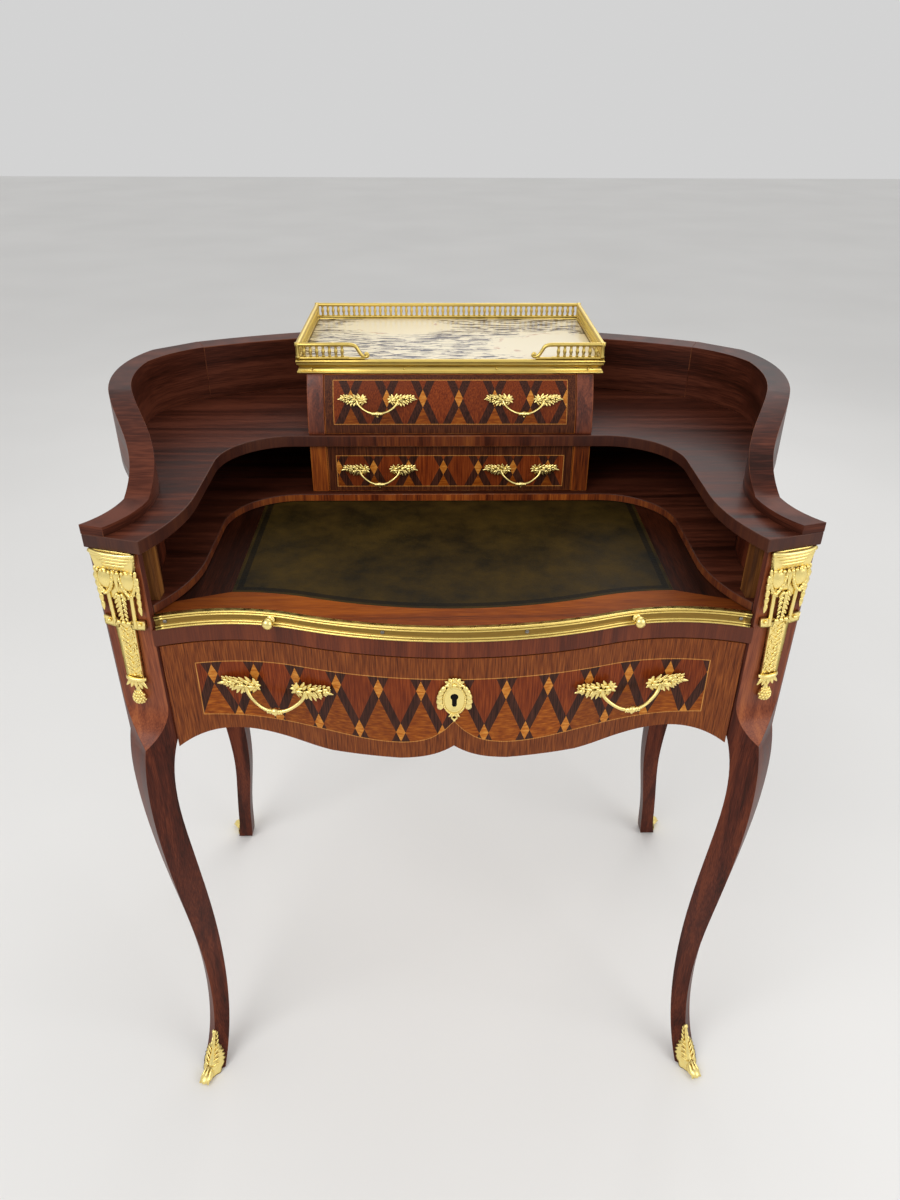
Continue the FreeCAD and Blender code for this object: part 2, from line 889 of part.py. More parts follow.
def make_rim_side(name, side):
    """One side of the rim, from the horn round the rear corner, swept down to the front."""
    outer = side_points(as_size(0))
    inner = side_points(size("rim_wall"))
    horn_share = float(size("rim_wall")) / outer[0].distanceToPoint(shelf_tip)
    horn_inner = outer[0] + (shelf_tip - outer[0]) * horn_share
    wall = [horn_inner] + inner[1:-1]
    corner_middle = vector(
        wall[-1].x * CORNER_SHARE_X + rim_joint.x * (1 - CORNER_SHARE_X),
        wall[-1].y * CORNER_SHARE_Y + rim_joint.y * (1 - CORNER_SHARE_Y),
    )
    runs = [(outer[-1], back_corner), (back_corner, rim_joint), (horn_inner, outer[0])]
    edges = [side_curve(outer, side), side_curve(wall, side)]
    edges.append(Part.Arc(*[on_side(p, side) for p in (wall[-1], corner_middle, rim_joint)]))
    edges += [line(on_side(a, side), on_side(b, side)) for a, b in runs]
    body = board("rim_" + name, edges, shelf_level, size("rim_height"))
    front = float(front_leg_y)
    sweep = [
        vector(front + float(size("rim_low_behind")), size("rim_horn_height")),
        vector(front + float(size("rim_step_behind")), size("rim_step_height")),
        vector(front + float(size("rim_shoulder_behind")), size("rim_shoulder_height")),
        vector(front + float(size("rim_crest_behind")), size("rim_height")),
    ]
    over = 2 * size("rim_height")
    start = front_leg_y - size("toe_reach")
    rear = sweep[-1].x
    corners = [sweep[-1], vector(rear, over), vector(start, over), vector(start, sweep[0].y), sweep[0]]
    cutter = [line(a, b) for a, b in zip(corners, corners[1:])]
    cutter.append(curve(sweep))
    pocket(body, "sweep", outline(body, "sweep_profile", "YZ_Plane", cutter), 2 * size("desk_width"))
    return body


for side in SIDES:
    keep(make_rim_side(*side))


def make_rim_back():
    """Back of the rim, mitred to the sides."""
    wall = size("rim_back_wall")
    edges = [back_arc(back_corner.x, 0), back_arc(rim_joint.x, wall)]
    edges += [line(on_side(back_corner, side), on_side(rim_joint, side)) for side in (-1, 1)]
    return board("rim_back", edges, shelf_level, size("rim_height"))


rim_back = keep(make_rim_back())


# Small cabinet


def swelled(low, high, thickness=0):
    """Convex upper front in side view, between two heights over the shelf, thickness behind its face."""
    lean = float(size("cabinet_lean"))
    radius = (lean ** 2 + float(size("rim_height")) ** 2) / (2 * lean)
    points = []
    for height in (float(low), float(low + high) / 2, float(high)):
        swell = radius - math.sqrt(radius ** 2 - height ** 2)
        points.append(vector(cabinet_front + thickness + swell, shelf_level + height))
    return points


def make_upper_upright(name, side):
    """Side of the cabinet above the shelf, with its convex pilaster edge."""
    blank = new_body("cabinet_upper_%s_blank" % name)
    foot, middle, top = swelled(as_size(0), size("rim_height"))
    rear = back_point(size("cabinet_half"), size("rim_back_wall") / 2).y
    corners = [top, vector(rear, top.y), vector(rear, foot.y), foot]
    edges = [line(a, b) for a, b in zip(corners, corners[1:])]
    edges.append(Part.Arc(foot, middle, top))
    pad(blank, "side", outline(blank, "profile", "YZ_Plane", edges), size("pilaster_width"))
    place(blank, cabinet_inner if side > 0 else -size("cabinet_half"))
    return fitted("cabinet_upper_" + name, blank, [rim_back])


def make_lower_upright(name, side):
    """Side of the cabinet between the inner top and the shelf."""
    low = cabinet_inner if side > 0 else -size("cabinet_half")
    rear = back_point(size("cabinet_half"), size("panel_setback") + size("seat_gap")).y
    blank = box(
        "cabinet_lower_%s_blank" % name,
        low,
        cabinet_front,
        inner_top_level,
        size("pilaster_width"),
        rear - cabinet_front,
        size("pigeonhole_height"),
    )
    return fitted("cabinet_lower_" + name, blank, [back_panel])


for side in SIDES:
    keep(make_lower_upright(*side))
for side in SIDES:
    keep(make_upper_upright(*side))

gallery_half = size("cabinet_half") + size("gallery_overhang")
gallery_front = cabinet_front + size("cabinet_lean") - size("gallery_lead")
wall = size("moulding_wall")
tray_half = gallery_half - wall
tray_front = gallery_front + wall
tray_depth = size("gallery_depth") - 2 * wall

keep(box("cabinet_top", -tray_half, tray_front, rim_crest, 2 * tray_half, tray_depth, size("top_board")))
slack = size("seat_gap")
keep(box(
    "marble_top",
    slack - tray_half,
    tray_front + slack,
    rim_crest + size("top_board"),
    2 * (tray_half - slack),
    tray_depth - 2 * slack,
    size("marble_thickness"),
))
moulding_blank = box(
    "gallery_moulding_blank",
    -gallery_half,
    gallery_front,
    rim_crest,
    2 * gallery_half,
    size("gallery_depth"),
    size("moulding_height"),
)
moulding_hollow = box(
    "gallery_moulding_hollow",
    -tray_half,
    tray_front,
    rim_crest,
    2 * tray_half,
    tray_depth,
    size("moulding_height"),
)
keep(fitted("gallery_moulding", moulding_blank, [moulding_hollow]))


def make_fence(label, length, scroll=0):
    """A pierced gallery strip that stands along its own X; its free end may run down in a slope."""
    body = new_body(label)
    height = size("fence_height")
    level = length - scroll
    corners = [(as_size(0), as_size(0)), (length, as_size(0)), (level, height), (as_size(0), height)]
    pad(body, "strip", polygon(body, "face", "XZ_Plane", corners), size("fence_wall"), "Symmetric")
    pitch = size("slot_pitch")
    foot = size("slot_foot")
    slot = [
        (pitch, foot),
        (pitch + size("slot_width"), foot),
        (pitch + size("slot_width"), foot + size("slot_height")),
        (pitch, foot + size("slot_height")),
    ]
    first = pocket(body, "slot", polygon(body, "slot_face", "XZ_Plane", slot), size("fence_wall") * 2)
    doc.recompute()
    pattern = body.newObject("PartDesign::LinearPattern", label + "_slots")
    pattern.Originals = [first]
    x_axis = [item for item in body.Origin.OriginFeatures if item.Role == "X_Axis"][0]
    pattern.Direction = (x_axis, [""])
    count = int((float(level) - float(pitch)) / float(pitch))
    pattern.Occurrences = count
    bind(pattern, "Length", pitch * (count - 1))
    body.Tip = pattern
    return body


def make_gallery():
    """Five strips of pierced gallery: back, two sides and two short front returns."""
    thin = size("fence_wall")
    rear = gallery_front + size("gallery_depth") - thin / 2
    side_x = gallery_half - thin / 2
    run = size("gallery_depth") - 2 * thin
    side_start = gallery_front + thin
    back_strip = place(make_fence("fence_back", 2 * gallery_half), -gallery_half, rear, moulding_top)
    left = place(make_fence("fence_left", run), -side_x, side_start, moulding_top, 90)
    right = place(make_fence("fence_right", run), side_x, side_start, moulding_top, 90)
    front_y_middle = gallery_front + thin / 2
    length = size("fence_return")
    drop = size("fence_scroll")
    front_left = make_fence("fence_front_left", length, drop)
    place(front_left, -gallery_half, front_y_middle, moulding_top)
    front_right = make_fence("fence_front_right", length, drop)
    place(front_right, gallery_half, front_y_middle, moulding_top, 180)
    return group("gallery_fence", [back_strip, left, right, front_left, front_right])


keep(make_gallery())


# Glue blocks and drawer stops


def make_glue_blocks():
    """Softwood blocks in the pigeonholes behind the front legs."""
    blocks = []
    for name, side in SIDES:
        edge = size("block_side")
        outer = waist_x - size("seat_gap")
        low = outer - edge if side > 0 else -outer
        y = front_leg_y + size("block_behind")
        height = size("pigeonhole_height")
        blank = box("glue_block_%s_blank" % name, low, y, inner_top_level, edge, edge, height)
        blocks.append(fitted("glue_block_" + name, blank, [legs["front_" + name]]))
    return group("glue_blocks", blocks)


keep(make_glue_blocks())
side_outer = bearer_inner + size("frieze_side")
frieze_back = back_point(side_outer, back_inset).y - size("frieze_back_room")
upper_back = back_point(cabinet_inner, size("rim_back_wall")).y - size("upper_back_room")
lower_back = back_point(cabinet_inner, back_inset).y - size("lower_back_room")


def make_stops():
    """A pair of stop blocks behind each drawer."""
    width = size("stop_width")
    rows = (
        ("frieze", bearer_inner, frieze_back, runner_top),
        ("upper", cabinet_inner / 2, upper_back, shelf_level),
        ("lower", cabinet_inner / 2, lower_back, inner_top_level),
    )
    stops = []
    for name, x, y, z in rows:
        for side_name, side in SIDES:
            low = x if side > 0 else -x - width
            label = "stop_%s_%s" % (name, side_name)
            start = y + size("seat_gap")
            stops.append(box(label, low, start, z, width, size("stop_depth"), size("stop_height")))
    return group("drawer_stops", stops)


keep(make_stops())


# Handles: one casting each, a bail between two bosses with a knop in the middle


def make_handle(label, span, sag, x, y, z, turn, tilt, fronts):
    """A cast handle whose back is scribed to the drawer front that carries it."""
    half = span / 2
    stand = size("bail_stand")
    boss_length = stand + size("small_front") / 2
    pieces = []
    for end, way in (("start", -1), ("finish", 1)):
        boss = cylinder(label + "_boss_" + end, size("boss_radius"), boss_length)
        pieces.append(place(boss, way * half, boss_length - stand, 0, 90, (1, 0, 0)))
    radius = (float(half) ** 2 + float(sag) ** 2) / (2 * float(sag))
    bail = doc.addObject("Part::Torus", label + "_bail")
    bail.Radius1 = radius
    bind(bail, "Radius2", size("bail_radius"))
    sweep = 2 * math.degrees(math.asin(float(half) / radius))
    bail.Angle3 = sweep
    upright = FreeCAD.Rotation(vector(1, 0, 0), 90)
    swing = FreeCAD.Rotation(vector(0, 1, 0), 90 + sweep / 2)
    bail.Placement = FreeCAD.Placement(vector(0, -float(stand), radius - float(sag)), swing * upright)
    knop = place(ball(label + "_knop", size("knop_radius")), 0, -stand, -sag, 90, (0, 1, 0))
    cast = fuse(label + "_cast", pieces + [bail, knop])
    spin = FreeCAD.Rotation(vector(0, 0, 1), turn) * FreeCAD.Rotation(vector(1, 0, 0), tilt)
    cast.Placement = FreeCAD.Placement(vector(x, y, z), spin)
    return fitted(label, cast, fronts)


# Long drawer


# Shares that shape the lower edge: where the cusp's flank turns, how far it has fallen there,
# and how high the edge has risen halfway to the flat
CUSP_REACH = 0.4
CUSP_FALL = 0.35
FLAT_RISE = 0.2


def make_frieze_front():
    """Serpentine front with its shaped lower edge: a cusp, two lobes and two flats."""
    edges = front_band(drawer_half, size("front_setback"), size("frieze_front"))
    body = board("frieze_front_board", edges, frieze_foot, size("frieze_height"))
    end = float(drawer_half)
    lobe = float(size("apron_lobe"))
    flat = float(size("apron_flat"))
    flat_end = end - float(size("apron_flat_inset"))
    bottom = -float(size("frieze_side_height"))
    profile = [
        vector(0, size("apron_cusp")),
        vector(lobe * CUSP_REACH, size("apron_cusp") * CUSP_FALL),
        vector(lobe, 0),
        vector((lobe + flat_end) / 2, flat * FLAT_RISE),
        vector(flat_end, flat),
        vector(end, 0),
    ]
    cutter = []
    for side in (-1, 1):
        cutter.append(side_curve(profile, side))
        cutter.append(line(on_side(profile[-1], side), on_side(vector(end, bottom), side)))
    cutter.append(line(vector(-end, bottom), vector(end, bottom)))
    sketch = outline(body, "apron_profile", "XZ_Plane", cutter)
    pocket(body, "apron", sketch, 2 * size("desk_depth"))
    return body


frieze_board = make_frieze_front()
inner_inset = size("front_setback") + size("frieze_front")
side_low = runner_top + size("running_gap")
bottom_level = side_low + size("frieze_bottom") / 2


def make_frieze_box():
    """Sides, back and bottom of the long drawer, scribed to the shaped front."""
    thick = size("frieze_side")
    inner = side_outer - thick
    start = front_y(side_outer, float(size("front_setback") + size("frieze_front") / 2))
    for name, side in SIDES:
        low = inner if side > 0 else -side_outer
        label = "frieze_side_" + name
        blank = box(
            label + "_blank", low, start, side_low, thick, frieze_back - start, size("frieze_side_height")
        )
        keep(fitted(label, blank, [frieze_board]))
    back_low = bottom_level + size("frieze_bottom")
    height = side_low + size("frieze_side_height") - back_low
    keep(box("frieze_back", -inner, frieze_back - thick, back_low, 2 * inner, thick, height))
    floor_plan = front_board(inner, inner_inset, frieze_back)
    keep(board("frieze_bottom", floor_plan, bottom_level, size("frieze_bottom")))


make_frieze_box()

handle_z = frieze_top - size("frieze_handle_drop")
handle_x = float(size("frieze_handle_x"))
half_span = float(size("frieze_handle_span")) / 2
handle_ends = [handle_x - half_span, handle_x + half_span]
face_inset = float(size("front_setback"))
end_ys = [front_y(x, face_inset) for x in handle_ends]
handle_turn = math.degrees(math.atan2(end_ys[1] - end_ys[0], handle_ends[1] - handle_ends[0]))
handle_y = (end_ys[0] + end_ys[1]) / 2
for side_name, side in SIDES:
    keep(make_handle(
        "frieze_handle_" + side_name,
        size("frieze_handle_span"),
        size("frieze_bail_sag"),
        side * handle_x,
        handle_y,
        handle_z,
        side * handle_turn,
        0,
        [frieze_board],
    ))


def make_handle_nuts():
    """Nuts that hold the handles, on the inside of the front."""
    nuts = []
    for side_name, side in SIDES:
        for number, x in enumerate(handle_ends, start=1):
            label = "handle_nut_%s_%d" % (side_name, number)
            thickness = size("nut_thickness") * 3
            blank = cylinder(label + "_blank", size("nut_radius"), thickness)
            y = front_y(x, float(inner_inset)) + float(size("nut_thickness"))
            place(blank, side * x, y, handle_z, 90, (1, 0, 0))
            nuts.append(fitted(label, blank, [frieze_board]))
    return group("handle_nuts", nuts)


keep(make_handle_nuts())


def make_escutcheon():
    """Oval key plate with its keyhole, scribed to the bowed front."""
    blank = new_body("escutcheon_blank")
    plate = Part.Ellipse(
        vector(0, 0), float(size("escutcheon_height")) / 2, float(size("escutcheon_width")) / 2
    )
    plate.XAxis = vector(0, 1)
    pad(blank, "plate", outline(blank, "oval", "XZ_Plane", [plate]), size("escutcheon_thickness") * 2)
    centre_z = frieze_top - size("escutcheon_drop")
    place(blank, 0, bow_y + size("front_setback") + size("escutcheon_thickness"), centre_z)
    keyhole = cylinder("keyhole", size("keyhole_radius"), size("escutcheon_thickness") * 4)
    keyhole_start = bow_y + size("front_setback") + 2 * size("escutcheon_thickness")
    place(keyhole, 0, keyhole_start, centre_z, 90, (1, 0, 0))
    return fitted("escutcheon", blank, [frieze_board, keyhole])


keep(make_escutcheon())

key_hole = cylinder("front_keyhole", size("keyhole_radius"), size("frieze_front") * 2)
place(
    key_hole,
    0,
    bow_y + size("front_setback") + size("frieze_front") * 1.5,
    frieze_top - size("escutcheon_drop"),
    90,
    (1, 0, 0),
)
keep(fitted("frieze_front", frieze_board, [key_hole]))

bolt_top = rail_bottom - size("running_gap")
lock_top = frieze_top - size("lock_drop")


def make_lock():
    """Lock case behind the front with a channel for its bolt."""
    gap = size("seat_gap")
    case = box(
        "lock_case_blank",
        -size("lock_width") / 2,
        lock_face,
        lock_top - size("lock_height"),
        size("lock_width"),
        size("lock_depth"),
        size("lock_height"),
    )
    channel = box(
        "bolt_channel",
        -(size("bolt_width") / 2 + gap),
        bolt_y - gap,
        bolt_top - size("bolt_height") - gap,
        size("bolt_width") + 2 * gap,
        size("bolt_thickness") + 2 * gap,
        size("bolt_height") + size("bolt_throw"),
    )
    keep(fitted("lock_case", case, [frieze_board, channel]))
    keep(box(
        "lock_bolt",
        -size("bolt_width") / 2,
        bolt_y,
        bolt_top - size("bolt_height"),
        size("bolt_width"),
        size("bolt_thickness"),
        size("bolt_height"),
    ))


make_lock()


# Writing slide


def make_pulls():
    """Two small turned pulls, set square to the front."""
    radius = size("pull_radius")
    chamfer = size("pull_chamfer")
    shank = size("pull_shank")
    face = -size("pull_reach")
    neck = face + 2 * radius
    axis = as_size(0)
    profile = [
        (axis, face),
        (radius - chamfer, face),
        (radius, face + chamfer),
        (radius, neck - chamfer),
        (radius - chamfer, neck),
        (shank, neck),
        (shank, size("pull_shank_length")),
        (axis, size("pull_shank_length")),
    ]
    pulls = []
    for side_name, side in SIDES:
        x = size("pull_x") * side
        middle = slide_bottom + size("slide_thickness") / 2
        body = new_body("pull_" + side_name)
        turned = body.newObject("PartDesign::Revolution", "pull_%s_turned" % side_name)
        turned.Profile = polygon(body, "profile", "XY_Plane", profile)
        turned.ReferenceAxis = (turned.Profile[0], ["V_Axis"])
        pulls.append(place(body, x, front_y(x, 0), middle, front_slope(x, 0)))
    return pulls


pulls = make_pulls()
keep(group("slide_pulls", pulls))
slide_rear = back_point(slide_half, back_inset).y - size("slide_back_room")
edge_plan = front_band(slide_half, 0, size("brass_edge"))
edge_blank = board("slide_brass_edge_blank", edge_plan, slide_bottom, size("slide_thickness"))
keep(fitted("slide_brass_edge", edge_blank, pulls))
leather_half = slide_half - size("leather_side_border")
leather_rear = slide_rear - size("leather_back_border")
leather_plan = front_board(leather_half, size("leather_front_border"), leather_rear)
leather = keep(board(
    "slide_leather", leather_plan, slide_top - size("leather_thickness"), size("leather_thickness")
))
slide_plan = front_board(slide_half, size("brass_edge"), slide_rear)
slide_blank = board("slide_board_blank", slide_plan, slide_bottom, size("slide_thickness"))
keep(fitted("slide_board", slide_blank, pulls + [leather]))


# Small drawers


def make_small_box(name, side_profile, low, height, back, floor_start):
    """Sides, back and bottom of a small drawer; the sides are padded from their profile."""
    thick = size("small_side")
    outer = cabinet_inner - size("running_gap") * 2
    inner = outer - thick
    floor = size("small_bottom")
    sides = []
    for side_name, side in SIDES:
        body = new_body("%s_side_%s" % (name, side_name))
        pad(body, "side", outline(body, "profile", "YZ_Plane", side_profile), thick)
        sides.append(place(body, inner if side > 0 else -outer))
    keep(group(name + "_sides", sides))
    keep(box(name + "_back", -inner, back - thick, low + floor, 2 * inner, thick, height - floor))
    keep(box(name + "_bottom", -inner, floor_start, low, 2 * inner, back - floor_start, floor))


def make_upper_drawer():
    """Drawer in the upper cabinet, with a front that swells like the pilasters."""
    gap = size("running_gap")
    half = cabinet_inner - gap
    top = size("rim_height") - gap
    front = new_body("upper_drawer_front")
    face = swelled(gap, top)
    inside = swelled(gap, top, size("small_front"))
    edges = [Part.Arc(*face), Part.Arc(*inside), line(face[0], inside[0]), line(face[2], inside[2])]
    pad(front, "swell", outline(front, "profile", "YZ_Plane", edges), 2 * half, "Symmetric")
    keep(front)
    height = size("rim_height") - size("upper_side_drop")
    scribe = swelled(gap, gap + height, size("small_front"))
    rear_top = vector(upper_back, scribe[2].y)
    rear_foot = vector(upper_back, scribe[0].y)
    corners = [scribe[2], rear_top, rear_foot, scribe[0]]
    profile = [Part.Arc(*scribe)] + [line(a, b) for a, b in zip(corners, corners[1:])]
    floor_start = swelled(gap, gap + size("small_bottom"), size("small_front"))[2].x
    make_small_box("upper_drawer", profile, shelf_level + gap, height, upper_back, floor_start)
    tilt = -math.degrees(math.atan2(face[2].x - face[0].x, face[2].y - face[0].y))
    chord = (face[2] - face[0]).normalize()
    seat = face[1] + chord * float(size("upper_handle_rise"))
    handles = [
        make_handle(
            "upper_handle_" + side_name,
            size("small_handle_span"),
            size("small_bail_sag"),
            side * float(size("small_handle_x")),
            seat.x,
            seat.y,
            0,
            tilt,
            [front],
        )
        for side_name, side in SIDES
    ]
    keep(group("upper_drawer_handles", handles))


def make_lower_drawer():
    """Drawer under the shelf, with a flat front."""
    gap = size("running_gap")
    half = cabinet_inner - gap
    height = size("pigeonhole_height") - 2 * gap
    low = inner_top_level + gap
    thick = size("small_front")
    front = keep(box("lower_drawer_front", -half, cabinet_front, low, 2 * half, thick, height))
    side_height = height - size("lower_side_drop")
    start = cabinet_front + thick
    corners = [
        vector(start, low),
        vector(start, low + side_height),
        vector(lower_back, low + side_height),
        vector(lower_back, low),
    ]
    profile = [line(a, b) for a, b in zip(corners, corners[1:] + corners[:1])]
    make_small_box("lower_drawer", profile, low, side_height, lower_back, start)
    handles = [
        make_handle(
            "lower_handle_" + side_name,
            size("small_handle_span"),
            size("small_bail_sag"),
            side * float(size("small_handle_x")),
            float(cabinet_front),
            float(low + height / 2),
            0,
            0,
            [front],
        )
        for side_name, side in SIDES
    ]
    keep(group("lower_drawer_handles", handles))


make_upper_drawer()
make_lower_drawer()


# Checks, then one file for each sub-part

doc.recompute()
failed = [item.Label for item in doc.Objects if {"Invalid", "Error"} & set(item.State)]
if failed:
    raise RuntimeError("not built: " + ", ".join(failed))
for part in sub_parts:
    if part.Shape.isNull() or not part.Shape.isValid():
        raise RuntimeError("bad shape: " + part.Label)
os.makedirs("parts", exist_ok=True)
for part in sub_parts:
    part.Shape.exportStep("parts/%s.step" % part.Label)
    print(part.Label, len(part.Shape.Solids), round(part.Shape.Volume / 1000, 1))
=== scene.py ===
"""Looks of a lady's writing desk: veneer, marquetry, gilt mounts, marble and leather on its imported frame.

Lengths are metres in the frame's axes: X across the desk, Y from front to back, Z up.
A size that a maker reads in millimetres is written as a number times MM.
"""

import logging
import math
from dataclasses import dataclass, replace
from enum import Enum
from typing import Sequence

import bmesh
import bpy
from bmesh.types import BMesh, BMFace
from mathutils import Matrix, Vector


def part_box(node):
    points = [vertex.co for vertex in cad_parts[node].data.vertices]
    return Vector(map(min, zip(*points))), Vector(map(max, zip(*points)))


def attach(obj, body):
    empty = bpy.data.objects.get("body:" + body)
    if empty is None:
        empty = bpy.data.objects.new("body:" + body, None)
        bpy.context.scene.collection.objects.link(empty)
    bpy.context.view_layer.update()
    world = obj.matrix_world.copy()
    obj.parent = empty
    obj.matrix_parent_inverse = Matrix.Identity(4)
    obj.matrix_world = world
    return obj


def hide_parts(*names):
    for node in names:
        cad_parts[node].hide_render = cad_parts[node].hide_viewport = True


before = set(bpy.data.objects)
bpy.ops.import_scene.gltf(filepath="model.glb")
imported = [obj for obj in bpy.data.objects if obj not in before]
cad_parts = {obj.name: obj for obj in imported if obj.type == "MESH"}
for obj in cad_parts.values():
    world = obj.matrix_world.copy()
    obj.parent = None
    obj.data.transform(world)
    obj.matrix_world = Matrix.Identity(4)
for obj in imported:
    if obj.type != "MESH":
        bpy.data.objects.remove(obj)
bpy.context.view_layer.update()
MM = 0.001
log = logging.getLogger("writing_desk")


class Body(Enum):
    """Bodies of the frame that a piece can ride on."""

    CARCASS = "carcass"
    FRIEZE = "frieze_drawer"
    SLIDE = "writing_slide"
    UPPER = "upper_drawer"
    LOWER = "lower_drawer"


class Slot(Enum):
    """Material slots."""

    KINGWOOD = "kingwood"
    OAK = "oak"
    MARQUETRY = "marquetry"
    GILT = "gilt_brass"
    STEEL = "lock_steel"
    MARBLE = "marble"
    LEATHER = "leather"


class Grain(Enum):
    """Direction of the fibres, as the scale that draws a pattern out along it."""

    ALONG_X = (1 / 24, 1.0, 1.0)
    ALONG_Y = (1.0, 1 / 24, 1.0)
    UPRIGHT = (1.0, 1.0, 1 / 24)
    LEVEL = (1 / 24, 1 / 24, 1.0)


def linear(code: str) -> tuple[float, float, float, float]:
    """Turn an sRGB hex colour into linear numbers for a shader socket.

    Args:
        code: colour such as "#8a4a20".

    Returns:
        Red, green, blue and a full alpha.
    """
    parts = [int(code[at:at + 2], 16) / 255 for at in (1, 3, 5)]
    red, green, blue = (p / 12.92 if p <= 0.04045 else ((p + 0.055) / 1.055) ** 2.4 for p in parts)
    return red, green, blue, 1.0


def add_node(tree: bpy.types.NodeTree, kind: str, links: dict | None = None,
             stops: Sequence[tuple[float, str]] = (), **settings) -> bpy.types.Node:
    """Add a node with its settings and links.

    Args:
        tree: node tree that takes it.
        kind: node type without its ShaderNode prefix.
        links: input socket, by name or number, to a node, an output socket or a plain value.
        stops: position and hex colour of each stop, for a colour ramp.
        settings: attributes of the node.

    Returns:
        The new node.
    """
    node = tree.nodes.new("ShaderNode" + kind)
    for name, value in settings.items():
        setattr(node, name, value)
    for socket, value in (links or {}).items():
        source = value.outputs[0] if isinstance(value, bpy.types.Node) else value
        if isinstance(source, bpy.types.NodeSocket):
            tree.links.new(source, node.inputs[socket])
        else:
            node.inputs[socket].default_value = source
    for index, (position, code) in enumerate(stops):
        marks = node.color_ramp.elements
        mark = marks[index] if index < 2 else marks.new(position)
        mark.position, mark.color = position, linear(code)
    return node


@dataclass(frozen=True)
class Finish:
    """A named surface; each kind of finish paints its own nodes."""

    name: str

    def material(self) -> bpy.types.Material:
        """Paint the material on its first use.

        Returns:
            The material of this finish.
        """
        made = bpy.data.materials.get(self.name)
        if made is None:
            made = bpy.data.materials.new(self.name)
            made.use_nodes = True
            made.node_tree.nodes.clear()
            shader = self.paint(made.node_tree)
            add_node(made.node_tree, "OutputMaterial", {"Surface": shader})
        return made

    def paint(self, tree: bpy.types.NodeTree) -> bpy.types.Node:
        """Add the finish's nodes and return its shader."""
        raise NotImplementedError


@dataclass(frozen=True)
class Wood(Finish):
    """Sliced veneer or solid timber: streaks along the fibre, broad figure, a skin of shellac."""

    dark: str
    middle: str
    light: str
    grain: Grain
    # pores are a few tenths of a millimetre wide, too fine to show, so the fibre is drawn coarser
    fibre: float = 1.0 * MM
    figure: float = 11.0 * MM
    roughness: float = 0.36
    polish: float = 0.1
    shine: float = 0.2
    # colour of a rubbed arris: bare wood where the polish is gone, lightened further as a painted highlight
    bare: str = "#7d4a2c"
    # painted shade: colour that it takes at the two ends of the desk, darker than its middle, and the span over
    # which it comes in
    ends: str = ""
    shade_span: tuple[float, float] = (150 * MM, 320 * MM)

    def worn(self) -> "Wood":
        """Return the finish of an arris, where polish and stain have rubbed away and a painted highlight
        lightens it further.
        """
        return replace(self, name=self.name + "_rubbed_arris_painted_highlight", dark=self.middle, middle=self.light,
                       light=self.bare, fibre=4.0 * MM, figure=30.0 * MM, roughness=0.45, polish=0.08)

    def paint(self, tree: bpy.types.NodeTree) -> bpy.types.Node:
        """Add the nodes of the wood.

        Args:
            tree: node tree that takes them.

        Returns:
            The shader of the wood.
        """
        place = add_node(tree, "TexCoord").outputs["Object"]
        along = add_node(tree, "Mapping", {"Vector": place, "Scale": self.grain.value})
        figure = add_node(tree, "TexNoise", {"Vector": along, "Scale": 1 / self.figure, "Detail": 3.0,
                                             "Roughness": 0.55, "Distortion": 0.8})
        fibre = add_node(tree, "TexNoise", {"Vector": along, "Scale": 1 / self.fibre, "Detail": 2.0})
        tone = add_node(tree, "Math", {0: fibre, 1: 0.55, 2: figure}, operation="MULTIPLY_ADD")
        colour = add_node(tree, "ValToRGB", {0: tone},
                          stops=((0.58, self.dark), (0.96, self.light), (0.77, self.middle)))
        # painted shade: the colour darkens towards the two ends of the desk
        if self.ends:
            axes = add_node(tree, "SeparateXYZ", {0: place})
            far = add_node(tree, "Math", {0: axes.outputs["X"]}, operation="ABSOLUTE")
            share = add_node(tree, "MapRange", {"Value": far, "From Min": self.shade_span[0],
                                                "From Max": self.shade_span[1], "To Max": 0.8})
            colour = add_node(tree, "Mix", {0: share.outputs[0], 6: colour, 7: linear(self.ends)},
                              data_type="RGBA").outputs[2]
        dull = add_node(tree, "MapRange", {"Value": figure, "From Min": 0.3, "From Max": 0.7,
                                           "To Min": self.roughness - 0.05, "To Max": self.roughness + 0.08})
        skin = add_node(tree, "Bump", {"Height": fibre, "Strength": 0.12, "Distance": 0.3 * MM})
        return add_node(tree, "BsdfPrincipled", {
            "Base Color": colour, "Roughness": dull.outputs[0], "Normal": skin, "IOR": 1.5,
            "Specular IOR Level": self.shine, "Coat Weight": self.polish, "Coat Roughness": 0.16})


